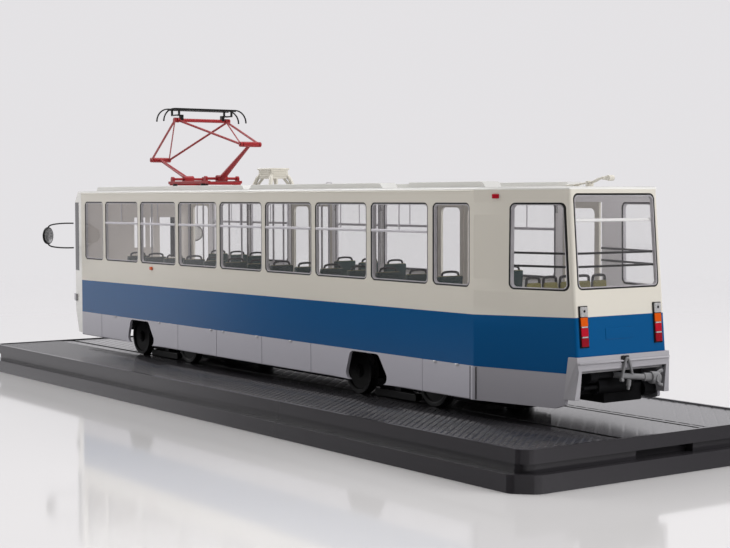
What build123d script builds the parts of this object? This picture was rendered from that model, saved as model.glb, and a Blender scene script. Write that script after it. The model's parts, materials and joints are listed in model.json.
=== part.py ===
import math
import os

from build123d import *

# Display model of a four-axle tram on its plinth, in millimetres. +X is the driver's end, +Y the side
# without doors, +Z is up, and the origin is the middle of the plinth's underside.

# Plinth
DECK_L = 393.4
DECK_W = 114.6
DECK_CHAMFER = 3.0
BAND_H = 4.2
RIM_W = 1.2
PAVING_DROP = 0.5
NECK_H = 2.8
NECK_INSET = 1.2
NOTCH_W = 24.4
NOTCH_DEPTH = 3.0
TRAY_H = 5.4
TRAY_OUTSET = 2.5
TRAY_CHAMFER = 6.0

# Wheelsets and bogies
GAUGE = 35.4
TREAD_R = 8.25
TREAD_W = 2.3
FLANGE_H = 0.65
FLANGE_W = 0.9
RAIL_GAP = 0.15
GROOVE_GAP = 0.35
WHEEL_DISH = 0.5
RIM_DEPTH = 1.3
HUB_R = 2.6
AXLE_R = 1.5
BORE_GAP = 0.25
WHEELBASE = 45.0
BOGIE_XS = (89.9, -84.5)
FRAME_Y = 11.5
FRAME_W = 2.6
FRAME_H = 4.4
FRAME_END = 4.5
AXLE_BOX_R = 3.3
BOLSTER_L = 9.0
PIVOT_R = 5.5
MOTOR_L = 10.5
MOTOR_R = 4.4
BRAKE_L = 24.5
BRAKE_W = 2.6
BRAKE_H = 2.6
BRAKE_GAP = 0.6
HANGER_L = 3.6

# Heights of the body's bands, from the paving up
SKIRT_GAP = 6.6
SKIRT_H = 11.0
BELT_H = 16.6
SILL_H = 8.6
WINDOW_H = 27.2
LINTEL_H = 4.1
ROOF_RISE = 0.9
ROOF_EDGE_R = 0.8

# Body in plan: a row of bays with a short window at each end, a tapered tail and a rounded front mask
BODY_W = 58.1
WALL_T = 1.2
BAYS = 7
BAY_PITCH = 35.4
WINDOW_W = 32.9
END_WINDOW_W = 19.5
CORNER_R = 2.0
ROW_X = 7.1
FRONT_POST = 4.1
REAR_POST = 2.0
TAPER_L = 36.8
REAR_W = 38.3
REAR_LEAN = 0.0807
CORNER_LEAN = 0.0098
MASK_L = 16.8
MASK_TAPER = 10.0
MASK_R = 7.5
CHIN = 5.3
BROW = 5.0
BROW_H = 4.4
MASK_GAP = 7.5
PILLAR_BACK = 4.6
SCREEN_W = 41.0
SCREEN_DROP = 5.8
SCREEN_TOP = 0.4

# Glass and rubber
GASKET_W = 0.55
GASKET_T = 1.0
GLASS_T = 0.8
GLASS_LAP = 1.1
PANE_RECESS = 0.3
VENT_DROP = 9.7
VENT_H = 0.6
VENT_T = 0.25
TAIL_WINDOW = (13.0, 1.7)
REAR_WINDOW_W = 35.0
REAR_WINDOW_LIFT = 0.35
REAR_WINDOW_TOP = 1.3

# Equipment under the floor: middle along X, length, width and depth of each box
UNDERFLOOR = (
    (136.0, 22.0, 30.0, 8.0),
    (44.0, 20.0, 40.0, 9.0),
    (17.0, 28.0, 42.0, 10.0),
    (-22.0, 40.0, 38.0, 8.0),
)
UNDERFLOOR_R = 1.5

# Skirts: joints between panels along X, and the wheel arch beside each bogie centre
JOINT_W = 0.35
SKIRT_JOINTS = (134.6, 60.0, 26.8, -8.9, -44.0, -112.5)
ARCH_BOTTOM = (-9.9, 18.4)
ARCH_TOP = (-2.4, 14.8)
ARCH_H = 10.4
ARCH_R = 2.5
TAIL_RISE = 2.1
TAIL_RISE_L = 6.5

# Doors on the right side, by bay counted from the front: a short bay is -1 or BAYS
DOOR_BAYS = (-1, 2, 5, BAYS)
DOOR_LIFT = 2.0
DOOR_T = 1.0
DOOR_GAP = 0.2
DOOR_RAIL = 2.2
DOOR_GLASS_DROP = 18.0
STEP_H = 3.0
STEP_GAP = 1.25

# Inside
FLOOR_T = 2.0
SEAT_PITCH = 17.7
SEAT_W = 10.0
SEAT_L = 8.5
SEAT_H = 9.6
SEAT_T = 2.0
SEAT_BACK_H = 18.6
SEAT_RAKE = 1.2
SEAT_GAP = 1.0
SEAT_ROWS = 14
SEAT_FIRST_X = 113.0
POLE_R = 0.4
POLE_GAP = 2.55
RAIL_T = 0.7
RAIL_HEIGHTS = (7.4, 11.5)
TOP_RAIL_HEIGHT = 21.7
PARTITION_T = 1.0
PARTITION_HEAD = 28.0
PARTITION_LIGHTS = ((1.2, 2.2, 14.6), (-3.2, 1.4, 14.6), (-7.1, 2.0, 14.6), (-15.8, 8.6, 19.6))
DESK_L = 6.6
DESK_W = 38.0
DESK_H = 14.0
DESK_SLOPE = 2.8
DESK_FOOT = 5.0

# Ends
BUMPER_T = 0.8
BUMPER_H = 4.3
BUMPER_TOP = 5.2
BUMPER_DROP = 13.1
BUMPER_LEG = 1.8
BUMPER_TUCK = 1.3
CHEEK_L = 3.2
LEDGE_T = 0.5
LEDGE_H = 0.6
LEDGE_DROP = 2.2
FRONT_BUMPER_LIFT = 4.6
FRONT_BUMPER_H = 3.4
STRAP_T = 0.9
STRAP_W = 4.4
STRAP_H = 7.2
STRAP_DROP = 0.8
PIN_H = 4.6
DRAWBAR_R = 1.05
DRAWBAR_DROP = 2.3
DRAWBAR_L = 7.6
DRAWBAR_TURN = 54.0
COUPLER_L = 4.2
COUPLER_W = 4.6
COUPLER_H = 3.4
COUPLER_SLOT = 1.6
TAIL_BLOCK = (10.0, 30.0, 7.5)
DRUM_R = 2.7
DRUM_W = 15.0
LAMP_Y = 15.9
LAMP_W = 2.9
LAMP_SEGMENT_H = 2.75
LAMP_RULE = 0.35
LAMP_T = 0.35
LAMP_CASE_RIM = 0.4
LAMP_CASE_T = 0.3
LAMP_LIFT = 8.65
HEADLAMP_R = 2.1
HEADLAMP_YS = (9.5, 15.0)
HEADLAMP_H = 12.6
MARKER_W = 2.2
MARKER_H = 1.4
MARKER_T = 0.6
SIDE_MARKER_X = 83.8
SIDE_MARKER_DROP = 2.0
TAIL_MARKER = (8.2, 2.0)
MIRROR_R = 4.2
MIRROR_T = 1.1
MIRROR_OUT = 11.0
MIRROR_BACK = 2.9
MIRROR_ARM_R = 0.35
MIRROR_ARM_SPACE = 10.8
MIRROR_HEIGHT = 53.7

# Roof
DUCT_H = 1.9
DUCT_W = 7.0
DUCT_Y = 18.5
DUCT_RUNS = ((154.0, 16.0), (12.0, -80.0), (-94.0, -137.0))
BOX_X = 28.8
BOX_L = 10.2
BOX_W = 8.8
BOX_H = 4.2
BOX_LEG_H = 4.6
BOX_LEG_R = 0.7
BOX_SPLAY = 2.6
BOX_R = 0.8
AERIAL_X = -150.0
AERIAL_Y = -5.0
AERIAL_L = 16.4
AERIAL_RISE = 1.6
AERIAL_R = 0.4
AERIAL_KNOB_R = 1.1

# Pantograph: two hinged half-frames that meet under the collector, shown with unequal knuckles
PANTO_X = 87.6
PIVOT_SPAN = 30.6
PIVOT_H = 5.2
LOWER_ARM = 28.7
UPPER_ARM = 43.8
REAR_ANGLE = 30.0
FRONT_ANGLE = 19.0
BASE_L = 37.2
BASE_Y = 8.0
BASE_BAR = 1.2
BASE_DROP = 1.0
END_BAR_DROP = 0.6
BEARING_L = 2.2
FOOT_R = 1.1
FOOT_X = 13.0
SHAFT_R = 0.6
HUB_WALL = 0.7
HUB_L = 5.0
PIN_R = 0.45
PIN_GAP = 0.2
EYE_R = 1.1
EYE_T = 1.0
KNUCKLE_Y = 3.9
KNUCKLE_R = 1.15
REAR_ARM_R = 1.4
FRONT_ARM_R = 0.9
ARM_TIP_R = 0.65
TUBE_R = 0.5
BRACE_R = 0.3
HEAD_TUBE_Y = 11.6
HEAD_TUBE_R = 0.8
STRIP_X = 3.3
STRIP_RISE = 5.2
STRIP_Y = 15.5
STRIP_W = 1.2
STRIP_T = 1.0
HORN_Y = 21.3
HORN_DROP = 6.0
HORN_T = 0.55
BRACKET_Y = 13.4
BRACKET_W = 0.9
BRACKET_T = 0.6
BRACKET_LIFT = 1.85
BRACKET_ARM = (9.8, 11.2)

# Heights that follow from the bands
RIM_Z = TRAY_H + NECK_H + BAND_H
PAVING_Z = RIM_Z - PAVING_DROP
AXLE_Z = PAVING_Z + RAIL_GAP + TREAD_R
SKIRT_Z = PAVING_Z + SKIRT_GAP
BELT_Z = SKIRT_Z + SKIRT_H
PAINT_Z = BELT_Z + BELT_H
SILL_Z = PAINT_Z + SILL_H
HEAD_Z = SILL_Z + WINDOW_H
EAVES_Z = HEAD_Z + LINTEL_H
ROOF_Z = EAVES_Z + ROOF_RISE
FLOOR_Z = BELT_Z + FLOOR_T
WINDOW_Z = SILL_Z + WINDOW_H / 2

# Places along and across the car that follow from the row of bays
HALF_W = BODY_W / 2
INNER_Y = HALF_W - WALL_T
POST_W = BAY_PITCH - WINDOW_W
ROW_HALF = BAYS * BAY_PITCH / 2 - POST_W / 2
END_OFFSET = ROW_HALF + POST_W + END_WINDOW_W / 2
SEAM_X = ROW_X + END_OFFSET + END_WINDOW_W / 2 + FRONT_POST
CREASE_X = ROW_X - END_OFFSET - END_WINDOW_W / 2 - REAR_POST
REAR_X = CREASE_X - TAPER_L
FRONT_X = SEAM_X + MASK_L
BAY_XS = [ROW_X + (BAYS - 1) * BAY_PITCH / 2 - bay * BAY_PITCH for bay in range(BAYS)]
ALL_BAYS = [(-1, ROW_X + END_OFFSET, END_WINDOW_W)]
ALL_BAYS += [(bay, x, WINDOW_W) for bay, x in enumerate(BAY_XS)]
ALL_BAYS += [(BAYS, ROW_X - END_OFFSET, END_WINDOW_W)]
LEFT_WINDOWS = [(x, width) for bay, x, width in ALL_BAYS]
RIGHT_WINDOWS = [(x, width) for bay, x, width in ALL_BAYS if bay not in DOOR_BAYS]
RIGHT_DOORS = [(x, width) for bay, x, width in ALL_BAYS if bay in DOOR_BAYS]
LEFT_RUN, TAIL_LEFT_RUN, REAR_RUN, TAIL_RIGHT_RUN, RIGHT_RUN = range(5)
CUT = DECK_L


def plan(z):
    """Corners of the body's plan at height z, from the seam at the front left round to the front right."""
    drop = PAINT_Z - z
    rear_x = REAR_X - REAR_LEAN * drop
    rear_y = REAR_W / 2 + CORNER_LEAN * drop
    left = [(SEAM_X, HALF_W), (CREASE_X, HALF_W), (rear_x, rear_y)]
    return left + [(x, -y) for x, y in reversed(left)]


def inset(corners, depth):
    """The same corners moved inwards, mitred where two walls meet."""
    lines = []
    for (x0, y0), (x1, y1) in zip(corners, corners[1:]):
        length = math.hypot(x1 - x0, y1 - y0)
        dx = (x1 - x0) / length
        dy = (y1 - y0) / length
        lines.append((x0 - dy * depth, y0 + dx * depth, dx, dy))
    moved = [(lines[0][0], lines[0][1])]
    for (ax, ay, adx, ady), (bx, by, bdx, bdy) in zip(lines, lines[1:]):
        reach = ((bx - ax) * bdy - (by - ay) * bdx) / (adx * bdy - ady * bdx)
        moved.append((ax + adx * reach, ay + ady * reach))
    last_x, last_y = corners[-1]
    moved.append((last_x - lines[-1][3] * depth, last_y + lines[-1][2] * depth))
    return moved


def wall(run, low, high, outer=0.0, inner=WALL_T):
    """One flat wall of the body between two heights and two depths, counted from the left side round."""
    with BuildPart() as slab:
        for z in (low, high):
            outside = inset(plan(z), outer)[run : run + 2]
            inside = inset(plan(z), inner)[run : run + 2]
            with BuildSketch(Plane.XY.offset(z)):
                with BuildLine():
                    Polyline(*outside, *reversed(inside), close=True)
                make_face()
        loft(ruled=True)
    return slab.part


def mask_half(recess, depth, back):
    """Left half of the mask's plan: back edge, end of the flank, middle and end of the corner's arc."""
    taper = math.radians(MASK_TAPER)
    middle = (taper + math.pi / 2) / 2
    nose_x = FRONT_X - recess - MASK_R
    flank_x = nose_x + MASK_R * math.sin(taper)
    nose_y = HALF_W - (flank_x - SEAM_X) * math.tan(taper) - MASK_R * math.cos(taper)
    radius = MASK_R - depth
    flank = (nose_x + radius * math.sin(taper), nose_y + radius * math.cos(taper))
    bend = (nose_x + radius * math.sin(middle), nose_y + radius * math.cos(middle))
    edge = (SEAM_X - back, flank[1] + (flank[0] - SEAM_X + back) * math.tan(taper))
    return edge, flank, bend, (nose_x + radius, nose_y)


def mask_outline(recess, depth=0.0, back=0.0):
    """Closed plan of the mask at one height, drawn in the sketch that calls it."""
    edge, flank, bend, nose = mask_half(recess, depth, back)
    with BuildLine() as outline:
        Line(edge, flank)
        ThreePointArc(flank, bend, nose)
        Line(nose, (nose[0], -nose[1]))
        ThreePointArc((nose[0], -nose[1]), (bend[0], -bend[1]), (flank[0], -flank[1]))
        Line((flank[0], -flank[1]), (edge[0], -edge[1]))
        Line((edge[0], -edge[1]), edge)
    return outline.line


def mask_block(depth, back):
    """The mask as a solid block, its chin and brow drawn back."""
    with BuildPart() as block:
        for z, recess in MASK_SECTIONS:
            with BuildSketch(Plane.XY.offset(z)):
                make_face(mask_outline(recess, depth, back))
        loft(ruled=True)
    return block.part


def bar(start, end, radius, tip=None):
    """A round bar, tapered where a tip radius is given, added to the part being built."""
    along = Vector(*end) - Vector(*start)
    with Locations(Plane(origin=start, z_dir=along).location):
        if tip is None:
            Cylinder(radius, along.length, align=(Align.CENTER, Align.CENTER, Align.MIN))
        else:
            Cone(radius, tip, along.length, align=(Align.CENTER, Align.CENTER, Align.MIN))


def across(x, z, y_low, y_high, radius, mode=Mode.ADD):
    """A round bar across the car, from one side to the other, added to or cut from the part being built."""
    with Locations(Plane(origin=(x, y_low, z), z_dir=(0, 1, 0)).location):
        Cylinder(radius, y_high - y_low, align=(Align.CENTER, Align.CENTER, Align.MIN), mode=mode)


def side_plane(y, z):
    """A sketch plane parallel to the car's side, with X to the right and Z up."""
    return Plane(origin=(0, y, z), x_dir=(1, 0, 0), z_dir=(0, -1, 0))


def block(x_span, y_span, z_span, mode=Mode.ADD):
    """A block between pairs of planes, added to or cut from the part being built."""
    size = [span[1] - span[0] for span in (x_span, y_span, z_span)]
    middle = [(span[0] + span[1]) / 2 for span in (x_span, y_span, z_span)]
    with Locations(tuple(middle)):
        Box(*size, mode=mode)


MASK_SECTIONS = (
    (PAVING_Z + MASK_GAP, CHIN),
    (BELT_Z, 0.0),
    (EAVES_Z - BROW_H, 0.0),
    (EAVES_Z, BROW),
)

# Plinth: a tray with a raised neck, and the deck that sits on it
with BuildPart() as plinth_tray:
    with BuildSketch():
        Rectangle(DECK_L + 2 * TRAY_OUTSET, DECK_W + 2 * TRAY_OUTSET)
        chamfer(vertices(), TRAY_CHAMFER)
    extrude(amount=TRAY_H)
    with BuildSketch(Plane.XY.offset(TRAY_H)):
        Rectangle(DECK_L - 2 * NECK_INSET, DECK_W - 2 * NECK_INSET)
        chamfer(vertices(), DECK_CHAMFER)
    extrude(amount=NECK_H)
    neck_end = -DECK_L / 2 + NECK_INSET
    notch_x = (neck_end - NECK_INSET, neck_end + NOTCH_DEPTH)
    block(notch_x, (-NOTCH_W / 2, NOTCH_W / 2), (TRAY_H, CUT), Mode.SUBTRACT)

WHEEL_FACE_Y = GAUGE / 2 + TREAD_W
FLANGE_Y = GAUGE / 2 - FLANGE_W
with BuildPart() as plinth_deck:
    with BuildSketch(Plane.XY.offset(TRAY_H + NECK_H)):
        Rectangle(DECK_L, DECK_W)
        chamfer(vertices(), DECK_CHAMFER)
    extrude(amount=BAND_H)
    with BuildSketch(Plane.XY.offset(PAVING_Z)):
        Rectangle(DECK_L - 2 * RIM_W, DECK_W - 2 * RIM_W)
        chamfer(vertices(), DECK_CHAMFER)
    extrude(amount=CUT, mode=Mode.SUBTRACT)
    groove_depth = FLANGE_H - RAIL_GAP + GROOVE_GAP
    for side in (-1, 1):
        groove_x = (-DECK_L / 2 + RIM_W, DECK_L / 2 - RIM_W)
        groove_y = sorted((side * (FLANGE_Y - GROOVE_GAP), side * (GAUGE / 2 + GROOVE_GAP)))
        block(groove_x, groove_y, (PAVING_Z - groove_depth, CUT), Mode.SUBTRACT)

# Wheelsets: half an axle and its flanged wheel are turned from one profile, then mirrored
AXLE_XS = [bogie_x + end * WHEELBASE / 2 for bogie_x in BOGIE_XS for end in (1, -1)]
wheelsets = []
for number, axle_x in enumerate(AXLE_XS, start=1):
    with BuildPart() as wheelset:
        with BuildSketch(Plane(origin=(axle_x, 0, AXLE_Z), x_dir=(0, 1, 0), z_dir=(1, 0, 0))):
            with BuildLine():
                Polyline(
                    (0, 0),
                    (0, AXLE_R),
                    (FLANGE_Y, AXLE_R),
                    (FLANGE_Y, TREAD_R + FLANGE_H / 2),
                    (FLANGE_Y + FLANGE_W / 2, TREAD_R + FLANGE_H),
                    (GAUGE / 2, TREAD_R),
                    (WHEEL_FACE_Y, TREAD_R),
                    (WHEEL_FACE_Y, TREAD_R - RIM_DEPTH),
                    (WHEEL_FACE_Y - WHEEL_DISH, TREAD_R - RIM_DEPTH - WHEEL_DISH),
                    (WHEEL_FACE_Y - WHEEL_DISH, HUB_R),
                    (WHEEL_FACE_Y, HUB_R - WHEEL_DISH),
                    (WHEEL_FACE_Y, 0),
                    close=True,
                )
            make_face()
        revolve(axis=Axis((axle_x, 0, AXLE_Z), (0, 1, 0)))
        mirror(about=Plane.XZ)
    wheelsets.append((f"wheelset_{number}", wheelset.part))

# Bogies: side beams with round axle boxes inside the wheels, a bolster, a pivot and two motors
bogies = []
for name, bogie_x in zip(("bogie_front", "bogie_rear"), BOGIE_XS):
    with BuildPart() as bogie:
        for beam_y in (-FRAME_Y, FRAME_Y):
            with BuildSketch(side_plane(beam_y, AXLE_Z)):
                with Locations((bogie_x, 0)):
                    RectangleRounded(WHEELBASE + 2 * FRAME_END, FRAME_H, FRAME_H / 3)
                with Locations((bogie_x - WHEELBASE / 2, 0), (bogie_x + WHEELBASE / 2, 0)):
                    Circle(AXLE_BOX_R)
            extrude(amount=FRAME_W / 2, both=True)
        bolster_top = AXLE_Z + FRAME_H / 2
        half = BOLSTER_L / 2
        block((bogie_x - half, bogie_x + half), (-FRAME_Y, FRAME_Y), (AXLE_Z - FRAME_H / 2, bolster_top))
        with Locations((bogie_x, 0, bolster_top)):
            Cylinder(PIVOT_R, BELT_Z - bolster_top, align=(Align.CENTER, Align.CENTER, Align.MIN))
        motor_reach = BOLSTER_L / 2 + MOTOR_L
        bar((bogie_x - motor_reach, 0, AXLE_Z), (bogie_x + motor_reach, 0, AXLE_Z), MOTOR_R)
        for axle_x in (bogie_x - WHEELBASE / 2, bogie_x + WHEELBASE / 2):
            across(axle_x, AXLE_Z, -FRAME_Y - FRAME_W, FRAME_Y + FRAME_W, AXLE_R + BORE_GAP, Mode.SUBTRACT)
    bogies.append((name, bogie.part))

# Track brakes: a shoe over each rail between the wheels, hung from the bogie's side beam
BRAKE_Y = GAUGE / 2 + BRAKE_W / 2 - FLANGE_W / 2
BRAKE_Z = PAVING_Z + BRAKE_GAP
with BuildPart() as track_brakes:
    for bogie_x in BOGIE_XS:
        for side in (-1, 1):
            with BuildSketch(side_plane(side * BRAKE_Y, BRAKE_Z + BRAKE_H / 2)):
                with Locations((bogie_x, 0)):
                    RectangleRounded(BRAKE_L, BRAKE_H, BRAKE_H / 3)
            extrude(amount=BRAKE_W / 2, both=True)
            hanger_y = sorted((side * (FRAME_Y + FRAME_W / 2), side * BRAKE_Y))
            hanger_x = (bogie_x - HANGER_L / 2, bogie_x + HANGER_L / 2)
            block(hanger_x, hanger_y, (BRAKE_Z + BRAKE_H / 2, AXLE_Z))

# Floor: a plate between the walls that runs forward into the mask
with BuildPart() as floor_pan:
    for z in (BELT_Z, FLOOR_Z):
        with BuildSketch(Plane.XY.offset(z)):
            with BuildLine():
                Polyline(*inset(plan(z), WALL_T), close=True)
            make_face()
    loft(ruled=True)
    with BuildSketch(Plane.XY.offset(BELT_Z)):
        make_face(mask_outline(0.0, WALL_T))
    extrude(amount=FLOOR_T)

# Boxes under the floor, with the tail's block and drum behind the rear bogie
TAIL_BLOCK_L, TAIL_BLOCK_W, TAIL_BLOCK_H = TAIL_BLOCK
TAIL_BLOCK_X = REAR_X + TAIL_BLOCK_L + 2 * DRUM_R
DRUM_X = TAIL_BLOCK_X - TAIL_BLOCK_L - DRUM_R / 2
with BuildPart() as underfloor_boxes:
    for box_x, length, width, depth in UNDERFLOOR:
        with BuildSketch(Plane(origin=(box_x, 0, BELT_Z - depth / 2), x_dir=(0, 1, 0), z_dir=(1, 0, 0))):
            Rectangle(width, depth)
            fillet(vertices().group_by(Axis.Y)[0], UNDERFLOOR_R)
        extrude(amount=length / 2, both=True)
    tail_x = (TAIL_BLOCK_X - TAIL_BLOCK_L, TAIL_BLOCK_X)
    block(tail_x, (-TAIL_BLOCK_W / 2, TAIL_BLOCK_W / 2), (BELT_Z - TAIL_BLOCK_H, BELT_Z))
    across(DRUM_X, BELT_Z - TAIL_BLOCK_H + DRUM_R, -DRUM_W / 2, DRUM_W / 2, DRUM_R)

# Side walls above the paint line, the blue belts below it, and their openings
left_wall_slab = wall(LEFT_RUN, PAINT_Z, EAVES_Z)
right_wall_slab = wall(RIGHT_RUN, PAINT_Z, EAVES_Z)
left_belt_slab = wall(LEFT_RUN, BELT_Z, PAINT_Z)
right_belt_slab = wall(RIGHT_RUN, BELT_Z, PAINT_Z)
left_skirt_slab = wall(LEFT_RUN, SKIRT_Z, BELT_Z)
right_skirt_slab = wall(RIGHT_RUN, SKIRT_Z, BELT_Z)
DOOR_Z = SKIRT_Z + DOOR_LIFT
DOOR_H = HEAD_Z - DOOR_Z


def cut_doors():
    """The right side's door openings, cut from the part being built."""
    for x, width in RIGHT_DOORS:
        wall_y = (-HALF_W - WALL_T, -INNER_Y + WALL_T)
        block((x - width / 2, x + width / 2), wall_y, (DOOR_Z, HEAD_Z), Mode.SUBTRACT)


with BuildPart() as side_wall_left:
    add(left_wall_slab)
    with BuildSketch(side_plane(HALF_W, WINDOW_Z)):
        for x, width in LEFT_WINDOWS:
            with Locations((x, 0)):
                RectangleRounded(width, WINDOW_H, CORNER_R)
    extrude(amount=2 * WALL_T, both=True, mode=Mode.SUBTRACT)

with BuildPart() as side_wall_right:
    add(right_wall_slab)
    with BuildSketch(side_plane(-HALF_W, WINDOW_Z)):
        for x, width in RIGHT_WINDOWS:
            with Locations((x, 0)):
                RectangleRounded(width, WINDOW_H, CORNER_R)
    extrude(amount=2 * WALL_T, both=True, mode=Mode.SUBTRACT)
    cut_doors()

with BuildPart() as belt_left:
    add(left_belt_slab)

with BuildPart() as belt_right:
    add(right_belt_slab)
    cut_doors()

# Skirts: panels parted by narrow joints, with a rounded arch over each bogie's middle
skirts = []
for name, side, slab in (("skirt_left", 1, left_skirt_slab), ("skirt_right", -1, right_skirt_slab)):
    with BuildPart() as skirt:
        add(slab)
        wall_y = sorted((side * (INNER_Y - WALL_T), side * (HALF_W + WALL_T)))
        for joint_x in SKIRT_JOINTS:
            block((joint_x - JOINT_W / 2, joint_x + JOINT_W / 2), wall_y, (0, BELT_Z), Mode.SUBTRACT)
        for bogie_x in BOGIE_XS:
            with BuildSketch(side_plane(side * HALF_W, SKIRT_Z)):
                with BuildLine():
                    Polyline(
                        (bogie_x + ARCH_BOTTOM[0], 0),
                        (bogie_x + ARCH_TOP[0], ARCH_H),
                        (bogie_x + ARCH_TOP[1], ARCH_H),
                        (bogie_x + ARCH_BOTTOM[1], 0),
                        close=True,
                    )
                make_face()
                fillet(vertices().group_by(Axis.Z)[-1], ARCH_R)
            extrude(amount=2 * WALL_T, both=True, mode=Mode.SUBTRACT)
        if side < 0:
            cut_doors()
    skirts.append((name, skirt.part))

# Tail: two tapered corners and a leaning rear wall, cream above the paint line and blue below it
TAIL_FRONT_X = CREASE_X - TAIL_WINDOW[0]
BUMPER_Z = BELT_Z + BUMPER_TOP
BUMPER_FOOT_Z = BUMPER_Z - BUMPER_DROP
CHEEK_X = REAR_X - REAR_LEAN * (PAINT_Z - BUMPER_Z) - BUMPER_T + CHEEK_L
REAR_SILL_Z = SILL_Z + REAR_WINDOW_LIFT
REAR_HEAD_Z = EAVES_Z - REAR_WINDOW_TOP


def tail_window(shrink):
    """A prism through both tapered corners where their window is, smaller all round by shrink."""
    low_x = REAR_X - REAR_LEAN * (PAINT_Z - SILL_Z) + TAIL_WINDOW[1]
    high_x = REAR_X - REAR_LEAN * (PAINT_Z - HEAD_Z) + TAIL_WINDOW[1]
    with BuildPart() as prism:
        with BuildSketch(Plane.XZ):
            with BuildLine():
                Polyline(
                    (TAIL_FRONT_X - shrink, SILL_Z + shrink),
                    (low_x + shrink, SILL_Z + shrink),
                    (high_x + shrink, HEAD_Z - shrink),
                    (TAIL_FRONT_X - shrink, HEAD_Z - shrink),
                    close=True,
                )
            make_face()
            fillet(vertices(), CORNER_R - shrink)
        extrude(amount=BODY_W, both=True)
    return prism.part


def rear_window(shrink):
    """A prism through the rear wall where its window is, smaller all round by shrink."""
    middle_z = (REAR_SILL_Z + REAR_HEAD_Z) / 2
    with BuildPart() as prism:
        with BuildSketch(Plane(origin=(REAR_X, 0, middle_z), x_dir=(0, 1, 0), z_dir=(1, 0, 0))):
            RectangleRounded(
                REAR_WINDOW_W - 2 * shrink, REAR_HEAD_Z - REAR_SILL_Z - 2 * shrink, CORNER_R - shrink
            )
        extrude(amount=TAPER_L / 2, both=True)
    return prism.part


def bumper_side(reach):
    """A prism across the car with the bumper's side outline, its rear edge moved back by reach."""
    with BuildPart() as prism:
        with BuildSketch(Plane.XZ):
            with BuildLine():
                Polyline(
                    (CHEEK_X, BUMPER_Z),
                    (CHEEK_X - CHEEK_L - reach, BUMPER_Z),
                    (CHEEK_X - CHEEK_L - reach + BUMPER_TUCK, BUMPER_FOOT_Z),
                    (CHEEK_X + BUMPER_TUCK, BUMPER_FOOT_Z),
                    close=True,
                )
            make_face()
        extrude(amount=BODY_W, both=True)
    return prism.part


tail_opening = tail_window(0.0)
tail_pane = tail_window(GASKET_W)
rear_opening = rear_window(0.0)
rear_pane = rear_window(GASKET_W)
tail_slabs = [wall(run, PAINT_Z, EAVES_Z) for run in (TAIL_LEFT_RUN, TAIL_RIGHT_RUN)]
rear_slab = wall(REAR_RUN, PAINT_Z, EAVES_Z)
belt_slabs = [wall(run, BELT_Z, PAINT_Z) for run in (TAIL_LEFT_RUN, TAIL_RIGHT_RUN)]
belt_slabs += [wall(REAR_RUN, BUMPER_Z - BUMPER_H, PAINT_Z)]
tail_skirt_slabs = [wall(run, SKIRT_Z, BELT_Z) for run in (TAIL_LEFT_RUN, TAIL_RIGHT_RUN)]

tail_corners = []
for name, slab in zip(("tail_corner_left", "tail_corner_right"), tail_slabs):
    with BuildPart() as tail_corner:
        add(slab)
        add(tail_opening, mode=Mode.SUBTRACT)
    tail_corners.append((name, tail_corner.part))

with BuildPart() as rear_wall:
    add(rear_slab)
    add(rear_opening, mode=Mode.SUBTRACT)

with BuildPart() as belt_rear:
    for slab in belt_slabs:
        add(slab)

with BuildPart() as skirt_tail:
    for slab in tail_skirt_slabs:
        add(slab)
    rise_x = REAR_X + TAIL_RISE_L
    with BuildSketch(Plane.XZ):
        with BuildLine():
            Polyline(
                (rise_x, SKIRT_Z),
                (rise_x - 2 * TAIL_RISE_L, SKIRT_Z),
                (rise_x - 2 * TAIL_RISE_L, SKIRT_Z + 2 * TAIL_RISE),
                close=True,
            )
        make_face()
    extrude(amount=BODY_W, both=True, mode=Mode.SUBTRACT)
    add(bumper_side(TAPER_L), mode=Mode.SUBTRACT)
    block((-CUT, CHEEK_X + BUMPER_TUCK), (-CUT, CUT), (0, BUMPER_FOOT_Z), Mode.SUBTRACT)

# Front mask: a rounded shell, with black corner posts and the windscreen set into it
mask_outer = mask_block(0.0, 0.0)
mask_inner = mask_block(WALL_T, WALL_T)
SCREEN_Z = (SILL_Z - SCREEN_DROP, HEAD_Z - SCREEN_TOP)
SCREEN_X = (SEAM_X + PILLAR_BACK, FRONT_X + WALL_T)

with BuildPart() as front_mask:
    add(mask_outer)
    add(mask_inner, mode=Mode.SUBTRACT)
    block(SCREEN_X, (-BODY_W, BODY_W), SCREEN_Z, Mode.SUBTRACT)

with BuildPart() as corner_posts:
    add(mask_outer)
    add(mask_inner, mode=Mode.SUBTRACT)
    block(SCREEN_X, (-BODY_W, BODY_W), SCREEN_Z, Mode.INTERSECT)
    block(SCREEN_X, (-SCREEN_W / 2, SCREEN_W / 2), SCREEN_Z, Mode.SUBTRACT)

with BuildPart() as windscreen:
    add(mask_outer)
    add(mask_inner, mode=Mode.SUBTRACT)
    block(SCREEN_X, (-SCREEN_W / 2, SCREEN_W / 2), SCREEN_Z, Mode.INTERSECT)

# Roof: a low slab over walls and mask, with ducts along both edges
with BuildPart() as roof_shell:
    with BuildSketch(Plane.XY.offset(EAVES_Z)):
        with BuildLine():
            Polyline(*plan(EAVES_Z), close=True)
        make_face()
        make_face(mask_outline(BROW))
    extrude(amount=ROOF_RISE)
    fillet(roof_shell.faces().sort_by(Axis.Z)[-1].outer_wire().edges(), ROOF_EDGE_R)

with BuildPart() as roof_ducts:
    for front, back in DUCT_RUNS:
        for duct_y in (-DUCT_Y, DUCT_Y):
            with BuildSketch(side_plane(duct_y, ROOF_Z)):
                with BuildLine():
                    Polyline(
                        (front, 0),
                        (front - DUCT_H, DUCT_H),
                        (back + DUCT_H, DUCT_H),
                        (back, 0),
                        close=True,
                    )
                make_face()
            extrude(amount=DUCT_W / 2, both=True)

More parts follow.
